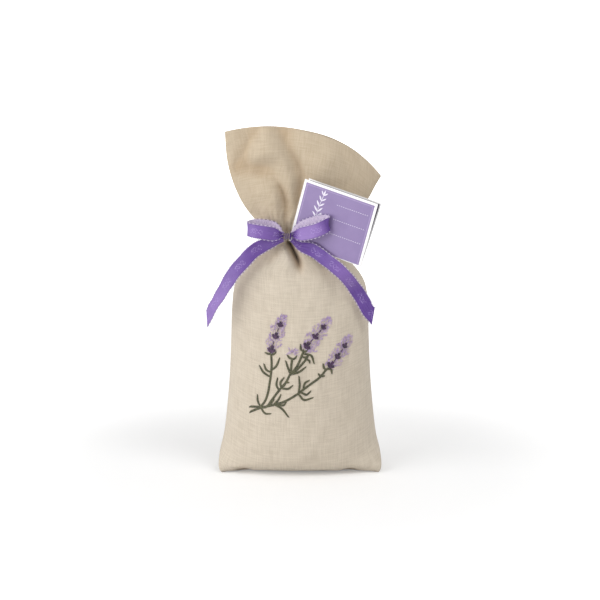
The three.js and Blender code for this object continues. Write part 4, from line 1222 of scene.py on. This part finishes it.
def ribbon_strip(name, line, facing, belly, gathered_end, cut, shine, seed):
    """A strip along a line, drawn together at the pinch. facing is the way that its right side looks."""
    tangent = tangents_of(line)
    across = unit(np.cross(tangent, facing))
    face = unit(np.cross(across, tangent))
    run = run_of(line)
    length = run[-1]
    # Narrow, cupped and pleated at the pinch, the ribbon opens out over the length of the gather
    gather = RIBBON_WIDTH * (1.1 if gathered_end else 2.0)
    from_end = np.minimum(run, length - run) if gathered_end else run
    open_share = smoothstep(from_end, -gather / 4, gather)[:, None]
    half = RIBBON_WIDTH / 2 * lerp(0.24, 1, open_share)
    cup = RIBBON_WIDTH * lerp(0.14, 0.02, open_share) * belly
    lanes = np.linspace(-1, 1, RIBBON_ACROSS)
    random = np.random.default_rng(seed)
    phase = random.uniform(0, math.tau, 3)
    pleats = 0.3 * MM * np.cos(lanes * 3.4 * math.pi + phase[0]) * (1 - open_share) ** 0.8
    ripple = 0.14 * MM * np.sin(run / (4.3 * MM) * math.tau / 2 + phase[1])[:, None] * lanes**3
    twist = 0.1 * MM * np.sin(run / (7 * MM) * math.tau / 2 + phase[2])[:, None] * (1 - lanes**2)
    offset = cup * (1 - lanes**2) + pleats + ripple + twist
    slant = (cut / 2) * smoothstep(run / length, 0.8, 1)[:, None] * lanes
    middle = (
        line[:, None]
        + across[:, None] * (half * lanes)[..., None]
        + face[:, None] * offset[..., None]
        + tangent[:, None] * slant[..., None]
    )
    out = face[:, None] * RIBBON_THICKNESS / 2
    uv = np.stack([run[:, None] + slant + lanes * 0, lanes * RIBBON_WIDTH / 2 + run[:, None] * 0], axis=2)
    shine = np.interp(run / length, *np.array(shine).T)[:, None] + 0 * lanes
    strip = closed_sheet(name, middle + out, middle - out, uv, {"shine": shine})
    # The edge loops begin where the ribbon has opened out
    start = int(np.argmax(open_share[:, 0] > 0.45))
    stop = len(line) - start if gathered_end else len(line)
    edges = [middle[start:stop, 0], middle[start:stop, -1]]
    outward = [-across[start:stop], across[start:stop]]
    return strip, edges, outward


class SACHET_OT_bow(bpy.types.Operator):
    """Fold the ribbon into its loops, tails and gathered middle"""

    bl_idname = "sachet.bow"
    bl_label = "Ribbon bow"

    def execute(self, context):
        bow = context.scene.sachet_bow
        face, reverse = satin_finish(bow), reverse_finish(bow)
        picot_material = picot_finish(bow)
        up = np.array([0.0, 0.0, 1.0])

        def loop_facing(line, direction):
            return np.cross(tangents_of(line), direction * up)

        def tail_facing(line, turn, roll):
            share = np.linspace(0, 1, len(line))
            angle = turn * (1 - smoothstep(share, 0.5, 0.9))
            facing = np.stack([-np.sin(angle), -np.cos(angle), 0 * angle], axis=1)
            rolled = (roll * smoothstep(share, 0.2, 1))[:, None]
            return facing * np.cos(rolled) + np.cross(facing, tangents_of(line)) * np.sin(rolled)

        left_loop = ribbon_line(LEFT_LOOP_SHARES, -1, LEFT_LOOP_REACH, LEFT_LOOP_REACH)
        right_loop = ribbon_line(RIGHT_LOOP_SHARES, 1, RIGHT_LOOP_REACH, RIGHT_LOOP_REACH)
        left_tail = ribbon_line(LEFT_TAIL_SHARES, -1, LEFT_TAIL[0], -LEFT_TAIL[1])
        right_tail = ribbon_line(RIGHT_TAIL_SHARES, 1, RIGHT_TAIL[0], -RIGHT_TAIL[1])
        strips = {
            "bow_loop_left": (left_loop, loop_facing(left_loop, -1), -1, True, 0),
            "bow_loop_right": (right_loop, loop_facing(right_loop, 1), -1, True, 0),
            "bow_tail_left": (left_tail, tail_facing(left_tail, 0, LEFT_TAIL_ROLL), 1, False, -TAIL_CUT),
            "bow_tail_right": (right_tail, tail_facing(right_tail, TAG_TURN, 0), 1, False, TAIL_CUT),
        }
        for seed, (node, (line, facing, belly, gathered_end, cut)) in enumerate(strips.items()):
            name = node.replace("bow", "ribbon")
            strip, edges, outward = ribbon_strip(
                name, line, facing, belly, gathered_end, cut, SHINE_SHARES[node], seed
            )
            dress(strip, "sachet", "satin_ribbon", node, materials=[face, reverse])
            guide = guide_lines(f"{name}_edges", edges, outward=outward)
            picots = grown(
                f"{name}_picots", guide, "picots", Material=picot_material,
                Spacing=bow.picot_pitch, Reach=bow.picot_reach, Thread=bow.picot_thread,
            )
            dress(picots, "sachet", "satin_ribbon", materials=[picot_material])
        make_pinch(face)
        return {"FINISHED"}


def make_pinch(face):
    """The gathered middle of the bow, with its pleats running out to the loops."""
    pleats = 9
    sides = 12 * pleats
    place = np.linspace(-1, 1, 33)[:, None]
    turn = np.arange(sides)[None] * math.tau / sides
    radius = PINCH_RADIUS * lerp(0.98, 1.28, np.abs(place) ** 4)
    pleat = PINCH_RADIUS * 0.09 * lerp(0.7, 1.6, np.abs(place) ** 2)
    pleated = radius + pleat * np.cos(pleats * turn + 0.8 * np.sin(3 * place))
    x = place * PINCH_LENGTH / 2 + 0 * turn
    rings = np.stack([x, pleated * np.cos(turn), pleated * np.sin(turn)], axis=2) + KNOT
    pinch = closed_tube("ribbon_pinch", rings)
    uv_layer = pinch.data.uv_layers.new(name="UVMap")
    for loop, corner in zip(pinch.data.loops, uv_layer.data):
        point = pinch.data.vertices[loop.vertex_index].co
        corner.uv = (point.x, math.atan2(point.z - KNOT[2], point.y - KNOT[1]) * PINCH_RADIUS)
    dress(pinch, "sachet", "satin_ribbon", "bow_pinch", materials=[face])


def plied(line, diameter, closed=False):
    """The middles of two plies twisted round a line."""
    tangent = tangents_of(line, closed)
    side = unit(np.cross(tangent, np.array([0.31, 0.17, 0.94])))
    other = np.cross(tangent, side)
    run = run_of(line)
    lay = run[-1] / max(round(run[-1] / (2.6 * diameter)), 1)
    plies = []
    for start in (0, math.pi):
        angle = run / lay * math.tau + start
        plies.append(line + diameter / 4 * (np.cos(angle)[:, None] * side + np.sin(angle)[:, None] * other))
    return plies


def binding_line():
    """Turns round the pinch from its back to its front, then the free end that hangs there."""
    radius = BINDING_INNER + BINDING_WIRE / 2
    steps = 60
    turn = np.linspace(-math.tau * BINDING_TURNS, 0, steps)
    along = BINDING_PITCH * (BINDING_TURNS / 2 - np.linspace(0, BINDING_TURNS, steps))
    coil = np.stack([along, -radius * np.cos(turn), -radius * np.sin(turn)], axis=1)
    drop = np.array([0.3, 0.6, 1])[:, None]
    end = coil[-1] + drop * np.array([0, -BINDING_WIRE, -(radius + BINDING_END)])
    return smooth_path(np.concatenate([coil, end]) + KNOT, 420)


def tie_line(pouch):
    """Round the neck, close on its pleats behind, and through the tag's hole to the back of the bow."""
    across = np.linspace(-0.9, 0.9, 181)
    row = np.full_like(across, TIE_ROW)
    behind = pouch_points(across, row, BACK, gathered_in(across, row, BACK, pouch))[:, 1].max()
    deep_behind = behind + 0.15 * MM + TIE_WIRE / 2
    wide = NECK_WIDTH / 2 + 0.7 * MM + TIE_WIRE / 2
    deep = NECK_DEPTH / 2 + 0.4 * MM + TIE_WIRE / 2
    swing = frame["joints"][0]["pos_m"]

    def oval(degrees, size=1.0):
        turn = math.radians(degrees)
        return size * wide * math.cos(turn), size * (deep if turn < 0 else deep_behind) * math.sin(turn)

    half = [(swing[0] - TIE_SHIFT, swing[1]), oval(-50, 1.04), *map(oval, range(-30, 91, 20))]
    mirrored = [(-x, y) for x, y in reversed(half[:-1])]
    front = (0, BINDING_INNER + BINDING_WIRE + THREAD_GAP + TIE_WIRE / 2 - KNOT_STAND)
    points = [(x + TIE_SHIFT, y, TIE_HEIGHT) for x, y in [front, *half, *mirrored]]
    return smooth_path(points, 500, closed=True)


class SACHET_OT_threads(bpy.types.Operator):
    """Wind the twisted threads of the tie and the binding"""

    bl_idname = "sachet.threads"
    bl_label = "Tie and binding"

    def execute(self, context):
        bow = context.scene.sachet_bow
        pale = tuple(2.2 * c for c in bow.thread_colour)
        material = fibre_finish("twisted_thread", pale, bow.thread_colour, run=0.4 * MM)
        for name, node, line, diameter, closed in (
            ("thread_binding", "bow_binding", binding_line(), BINDING_WIRE, False),
            ("thread_tie", "neck_tie", tie_line(context.scene.sachet_pouch), TIE_WIRE, True),
        ):
            plies = plied(line, diameter, closed)
            guide = guide_lines(f"{name}_plies", plies, closed, thick=[np.ones(len(line))] * 2)
            thread = grown(name, guide, "threads", Material=material, Radius=diameter * 0.27, Sides=7)
            dress(thread, "sachet", "tie_thread", node, materials=[material])
        return {"FINISHED"}


def tag_matrix():
    """The tag's own frame: the hole at the origin, +X along the fold and +Z out of the front leaf."""
    swing, fold = frame["joints"]
    out = Vector(swing["axis"]).normalized()
    along = Vector(fold["axis"]).normalized()
    up = out.cross(along)
    place = Matrix((along, up, out)).transposed().to_4x4()
    place.translation = Vector(swing["pos_m"])
    return place


def card_leaf(name, matrix, low):
    """A card leaf with its hole. low is the height of its lower face in the matrix's frame."""
    left, right = -HOLE_INSET, TAG_WIDTH - HOLE_INSET
    bottom, top = -HOLE_INSET, TAG_HEIGHT - HOLE_INSET
    corners = [(left, bottom), (right, bottom), (right, top), (left, top)]
    steps = 40
    hole = [
        (HOLE_RADIUS * math.cos(-math.tau * k / steps), HOLE_RADIUS * math.sin(-math.tau * k / steps))
        for k in range(steps)
    ]
    flat = corners + hole
    caps = tessellate_polygon([[Vector((x, y, 0)) for x, y in loop] for loop in (corners, hole)])
    count = len(flat)
    points = [Vector((x, y, z)) for z in (low + CARD_THICKNESS, low) for x, y in flat]
    faces = []
    for face in caps:
        a, b, c = (Vector(flat[k]).to_3d() for k in face)
        upward = (b - a).cross(c - a).z > 0
        upper = tuple(face) if upward else tuple(reversed(face))
        faces += [upper, tuple(k + count for k in reversed(upper))]
    for loop in (range(4), range(4, count)):
        loop = list(loop)
        for here, there in zip(loop, loop[1:] + loop[:1]):
            faces.append((there, here, here + count, there + count))
    uv = np.array([(p.x, p.y) for p in points])
    slots = [0 if k % 2 == 0 else 1 for k in range(2 * len(caps))] + [1] * (len(faces) - 2 * len(caps))
    return add_piece(name, [matrix @ p for p in points], faces, uv, slots, smooth=False)


class SACHET_OT_tag(bpy.types.Operator):
    """Print, punch and fold the card tag"""

    bl_idname = "sachet.tag"
    bl_label = "Card tag"

    def execute(self, context):
        tag = context.scene.sachet_tag
        printed = card_finish("printed_card", tag, tag.border, tag.ink_colour, tag.ink_shade)
        inside = card_finish("card_inside", tag, tag.inside_border, tag.inside_colour, tag.inside_colour)
        bare = card_finish("bare_card", tag)
        place = tag_matrix()
        opened = (
            place @ Matrix.Translation((0, -HOLE_INSET, 0)) @ Matrix.Rotation(-TAG_OPENING, 4, "X")
            @ Matrix.Translation((0, HOLE_INSET, 0))
        )
        front = card_leaf("card_front", place, LEAF_GAP / 2)
        back = card_leaf("card_back", opened, -LEAF_GAP / 2 - CARD_THICKNESS)
        dress(front, "tag_front", "printed_card", "tag_front_leaf", materials=[printed, bare])
        dress(back, "tag_back", "printed_card", "tag_back_leaf", materials=[inside, bare])
        make_spine(place, bare)
        make_ornament(place, tag)
        return {"FINISHED"}


def make_spine(place, material):
    """The folded strip of card that joins the two leaves along their lower edges."""
    inner = LEAF_GAP / 2
    outer = inner + CARD_THICKNESS
    angles = np.linspace(math.pi / 2, 3 * math.pi / 2 - TAG_OPENING, 15)
    ends = np.linspace(-HOLE_INSET, TAG_WIDTH - HOLE_INSET, 3)

    def arc(radius):
        y = -HOLE_INSET + radius * np.cos(angles)
        z = radius * np.sin(angles)
        local = np.stack(np.broadcast_arrays(ends[:, None], y, z), axis=2)
        return local @ np.array(place.to_3x3()).T + np.array(place.translation)

    uv = np.stack(np.meshgrid(angles * outer, ends), axis=2)
    spine = closed_sheet("card_fold", arc(outer), arc(inner), uv)
    for _ in range(2):
        spine.data.materials.append(material)
    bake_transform(spine)


def make_ornament(place, tag):
    """A plain sprig and three ruled lines printed on the front leaf."""
    top = LEAF_GAP / 2 + CARD_THICKNESS
    lift = 0.02 * MM
    ink = fibre_finish("pale_ink", tag.ornament_colour, tag.ornament_colour, roughness=0.5, sheen=0.0)
    points, faces = [], []

    def add_petal(x, y, heading, length, width):
        turn = np.array([[math.cos(heading), -math.sin(heading)], [math.sin(heading), math.cos(heading)]])
        share = np.linspace(0, 1, 9)
        half = width / 2 * np.sin(np.pi * share) ** 0.8
        upper = np.stack([share * length, half], axis=1)
        lower = np.stack([share * length, -half], axis=1)[-2:0:-1]
        ring = np.concatenate([upper, lower]) @ turn.T + np.array([x, y])
        start = len(points)
        count = len(ring)
        points.extend([(px, py, top + lift) for px, py in ring])
        points.extend([(px, py, top - lift) for px, py in ring])
        faces.append(tuple(start + k for k in reversed(range(count))))
        faces.append(tuple(start + count + k for k in range(count)))
        for k in range(count):
            after = (k + 1) % count
            faces.append((start + k, start + after, start + count + after, start + count + k))

    # Places of the sprig and the lines in millimetres from the hole
    stem = np.array([[6.5, 1.0], [7.2, 8.0], [6.6, 15.0], [7.6, 22.5]]) * MM
    line = smooth_path(np.column_stack([stem, np.zeros(4)]), 40)[:, :2]
    heading = np.arctan2(*np.gradient(line, axis=0).T[::-1])
    for k in range(39):
        step = np.linalg.norm(line[k + 1] - line[k])
        add_petal(*line[k], heading[k], step * 1.4, 0.3 * MM)
    for k in range(4, 40, 5):
        size = lerp(4.6, 2.6, k / 40) * MM
        for side in (-1, 1):
            add_petal(*line[k], heading[k] + side * 0.7, size, size * 0.24)
    add_petal(*line[-1], heading[-1], 2.8 * MM, 0.7 * MM)
    for height in (20.5, 13.5, 6.5):
        for x in np.arange(15.0, 31.5, 1.1):
            add_petal(x * MM, height * MM, 0.0, 0.75 * MM, 0.22 * MM)
    world = [place @ Vector(p) for p in points]
    ornament = add_piece("card_ornament", world, faces, smooth=False)
    dress(ornament, "tag_front", "printed_card", materials=[ink])


def posy_spots(shares):
    """Places of the front view from shares of the posy."""
    return np.array(POSY_FOOT) + POSY_HEIGHT * np.array(shares)


def posy_places(shares, count):
    """Places along a smooth line through the shares."""
    return smooth_path(np.pad(posy_spots(shares), ((0, 0), (0, 1))), count)[:, :2]


class SACHET_OT_posy(bpy.types.Operator):
    """Embroider the posy on the front panel"""

    bl_idname = "sachet.posy"
    bl_label = "Embroidered posy"

    def execute(self, context):
        posy = context.scene.sachet_posy
        surface = surface_of(bpy.data.objects["linen_front"])
        make_greens(posy, surface)
        lilac = fibre_finish("lilac_floss", posy.lilac_colour, posy.dark_lilac_colour, run=1.1 * MM)
        plum = fibre_finish("plum_floss", posy.plum_colour, posy.dark_plum_colour, run=1.1 * MM)
        for seed, which in enumerate(BLOSSOM_SHARES):
            make_blossom(which, posy, surface, lilac, seed)
            make_buds(which, posy, surface, plum, seed)
        return {"FINISHED"}


def make_greens(posy, surface):
    """Stems and leaves, each worked as a row of slanting stitches."""
    lines, outs, widths, lengths = [], [], [], []
    for shares in STEM_SHARES:
        points, out = on_cloth(surface, posy_places(shares, STEM_POINTS))
        lines.append(points + out * posy.floss * 0.2)
        outs.append(out)
        widths.append(np.full(STEM_POINTS, posy.stem_width * 0.24))
        lengths.append(np.full(STEM_POINTS, posy.stem_width))
    for shares in LEAF_SHARES:
        points, out = on_cloth(surface, posy_places(shares, LEAF_POINTS))
        taper = lerp(0.5, 1, np.sin(np.pi * lerp(0.2, 0.95, np.linspace(0, 1, LEAF_POINTS))))
        lines.append(points + out * posy.floss * 0.25)
        outs.append(out)
        widths.append(posy.leaf_width * 0.26 * taper)
        lengths.append(posy.leaf_width * taper)
    guide = guide_lines("green_lines", lines, out=outs, wide=widths, long=lengths)
    green = fibre_finish("green_floss", posy.green_colour, posy.dark_green_colour, run=0.45 * MM)
    greens = grown(
        "posy_greens", guide, "rope", Material=green,
        Spacing=0.4 * MM, Slant=0.56, Length=0.74, Height=posy.floss * 0.8,
    )
    dress(greens, "sachet", "green_floss", "posy_stems", materials=[green])


def embroider(kind, which, slot, surface, spots, ways, sizes, lift, material):
    """Stitches at places of the front view, each laid on the cloth along its way and lifted off it."""
    points, outs = on_cloth(surface, spots)
    along = np.stack([ways[:, 0], 0 * ways[:, 0], ways[:, 1]], axis=1)
    along = unit(along - outs * (along * outs).sum(axis=1, keepdims=True))
    guide = guide_lines(f"{which}_{kind}", [points + outs * lift], along=[along], out=[outs], size=[sizes])
    stitches = grown(f"posy_{kind}_{which}", guide, "stitches", Material=material)
    dress(stitches, "sachet", slot, f"{kind}_{which}", materials=[material])


def make_blossom(which, posy, surface, material, seed):
    """A blossom of short straight stitches that fan up and out from its axis."""
    random = np.random.default_rng(BLOSSOM_SEED + seed)
    axis = posy_places(BLOSSOM_SHARES[which], 60)
    heading = tangents_of(axis)
    count = posy.blossom_stitches
    share = random.uniform(0, 1, count)
    row = np.minimum((share * 59).astype(int), 59)
    # Pointed at both ends, and narrower between the whorls of flowers
    taper = np.minimum(1, np.minimum(0.5 + 2.4 * share, 0.4 + 1.7 * (1 - share)))
    whorl = 0.88 + 0.12 * np.cos(math.tau * 3.5 * share)
    side = random.uniform(-1, 1, count)
    normal = np.stack([-heading[:, 1], heading[:, 0]], axis=1)[row]
    reach = posy.blossom_width / 2 * taper * whorl
    spots = axis[row] + normal * (side * reach)[:, None]
    lean = side * 0.8 + random.normal(0, 0.35, count)
    forward = heading[row]
    way = forward * np.cos(lean)[:, None] + normal * np.sin(lean)[:, None]
    for place, spread, stitches in PUFF_SHARES.get(which, []):
        turn = random.uniform(-2.1, 2.1, stitches)
        out = np.stack([np.sin(turn), np.cos(turn)], axis=1)
        away = POSY_HEIGHT * spread * random.uniform(0.15, 1, stitches) ** 0.7
        spots = np.concatenate([spots, posy_spots(place) + out * away[:, None]])
        way = np.concatenate([way, out])
        count += stitches
    length = random.uniform(0.4, 0.95, count) * MM
    sizes = np.stack([length, np.full(count, posy.floss * 0.27), np.full(count, posy.floss * 0.36)], axis=1)
    lift = random.uniform(0.0, 0.3, count)[:, None] * MM
    embroider("blossom", which, "lilac_floss", surface, spots, way, sizes, lift, material)


def make_buds(which, posy, surface, material, seed):
    """Three dark buds up the blossom, each a fan of satin stitches with a thread to the next one."""
    random = np.random.default_rng(BUD_SEED + seed)
    spots, ways, sizes = [], [], []
    middles = posy_spots(BUD_SHARES[which])
    last = len(middles) - 1
    for k, middle in enumerate(middles):
        towards = middles[min(k + 1, last)] - middles[min(k, last - 1)]
        towards = towards / np.linalg.norm(towards)
        normal = np.array([-towards[1], towards[0]])
        size = BUD_SIZES[k]
        foot = middle - towards * 1.9 * MM * size
        for petal, half, stitches in BUD_PETALS:
            for side in np.linspace(-0.2, 0.2, stitches):
                lean = petal + side + random.normal(0, 0.03)
                way = towards * math.cos(lean) + normal * math.sin(lean)
                spots.append(foot + way * half * MM * size)
                ways.append(way)
                sizes.append([half * MM * size, posy.floss * 0.8, posy.floss * 0.6])
        if k < last:
            spots.append(middle + towards * 2.9 * MM)
            ways.append(towards)
            sizes.append([1.2 * MM, posy.floss * 0.6, posy.floss * 0.5])
    ways, sizes = np.array(ways), np.array(sizes)
    embroider("buds", which, "plum_floss", surface, spots, ways, sizes, 0.45 * MM, material)


class SACHET_OT_stage(bpy.types.Operator):
    """Set the camera, the pale floor and the soft light"""

    bl_idname = "sachet.stage"
    bl_label = "Camera, floor and light"

    def execute(self, context):
        stage = context.scene.sachet_stage
        scene = context.scene
        scene.view_settings.view_transform = "Standard"
        camera = bpy.data.objects.new("camera", bpy.data.cameras.new("camera"))
        scene.collection.objects.link(camera)
        scene.camera = camera
        camera.data.sensor_width = 36
        camera.data.lens = stage.lens
        target = Vector((0, 0, stage.aim_height))
        back = Vector((0, -math.cos(stage.elevation), math.sin(stage.elevation)))
        camera.location = target + back * stage.distance
        camera.rotation_euler = (-back).to_track_quat("-Z", "Y").to_euler()
        self.make_floor(stage)
        for name, (place, size) in LIGHTS.items():
            self.make_light(name, getattr(stage, f"{name}_power"), place, size, target)
        world = bpy.data.worlds.new("studio")
        scene.world = world
        world.use_nodes = True
        background = world.node_tree.nodes["Background"]
        background.inputs["Color"].default_value = (1, 1, 1, 1)
        background.inputs["Strength"].default_value = stage.world_strength
        return {"FINISHED"}

    def make_floor(self, stage):
        """A floor that curves up into a backdrop behind the sachet."""
        half_width, front, back, bend, height = 2.5, -2.5, 1.2, 0.5, 2.5
        turn = np.linspace(0.1, math.pi / 2, 12)
        run = np.concatenate([np.linspace(front, back, 12), back + bend * np.sin(turn)])
        rise = np.concatenate([np.zeros(12), bend - bend * np.cos(turn)])
        run, rise = np.append(run, run[-1]), np.append(rise, height)
        points = [(x, y, z) for y, z in zip(run, rise) for x in (-half_width, half_width)]
        faces = [(2 * k, 2 * k + 1, 2 * k + 3, 2 * k + 2) for k in range(len(run) - 1)]
        floor = add_piece("floor", points, faces)
        material, bench, shader = new_finish("floor", 0.9)
        shader.inputs["Base Color"].default_value = (*stage.floor_colour, 1.0)
        # The floor glows to the camera, more the further out it is, so that it looks white
        rays = bench.add("ShaderNodeLightPath").outputs
        seen = bench.math("MAXIMUM", rays["Is Camera Ray"], rays["Is Glossy Ray"])
        seen = bench.math("MAXIMUM", seen, rays["Is Transmission Ray"])
        where = bench.object_place()
        away = bench.add("ShaderNodeVectorMath", {0: where}, operation="LENGTH").outputs["Value"]
        near = bench.math("MULTIPLY_ADD", bench.ramp(away, 0.09, 0.2), 0.2, 0.2)
        white = bench.math("MULTIPLY_ADD", bench.ramp(away, 0.15, 0.8), 0.8, near)
        glow = bench.add("ShaderNodeEmission", {"Strength": bench.times(seen, white)})
        both = bench.add("ShaderNodeAddShader", {0: shader.outputs[0], 1: glow.outputs[0]})
        bench.tree.links.new(both.outputs[0], material.node_tree.nodes["Material Output"].inputs[0])
        floor.data.materials.append(material)

    def make_light(self, name, power, place, size, target):
        light = bpy.data.lights.new(name, "AREA")
        light.energy = power
        light.size = size
        lamp = bpy.data.objects.new(name, light)
        lamp.location = place
        lamp.rotation_euler = (Vector(place) - target).to_track_quat("Z", "Y").to_euler()
        bpy.context.scene.collection.objects.link(lamp)


OPERATORS = (
    SACHET_OT_stage,
    SACHET_OT_filling,
    SACHET_OT_pouch,
    SACHET_OT_posy,
    SACHET_OT_bow,
    SACHET_OT_threads,
    SACHET_OT_tag,
)


class SACHET_PT_sidebar(bpy.types.Panel):
    """The sachet's settings and the pieces that they make"""

    bl_idname = "SACHET_PT_sidebar"
    bl_label = "Lavender sachet"
    bl_space_type = "VIEW_3D"
    bl_region_type = "UI"
    bl_category = "Sachet"

    def draw(self, context):
        for operator in OPERATORS:
            self.layout.operator(operator.bl_idname)
        for key, settings in SETTINGS.items():
            box = self.layout.box()
            for field in settings.__annotations__:
                box.prop(getattr(context.scene, key), field)


CLASSES = (*SETTINGS.values(), *OPERATORS, SACHET_PT_sidebar)


def register():
    for cls in CLASSES:
        bpy.utils.register_class(cls)
    for key, settings in SETTINGS.items():
        setattr(bpy.types.Scene, key, PointerProperty(type=settings))


def unregister():
    for key in SETTINGS:
        delattr(bpy.types.Scene, key)
    for cls in reversed(CLASSES):
        bpy.utils.unregister_class(cls)


def main():
    register()
    bpy.ops.sachet.stage()
    bpy.ops.sachet.filling()
    bpy.ops.sachet.pouch()
    bpy.ops.sachet.posy()
    bpy.ops.sachet.bow()
    bpy.ops.sachet.threads()
    bpy.ops.sachet.tag()


if __name__ == "__main__":
    main()
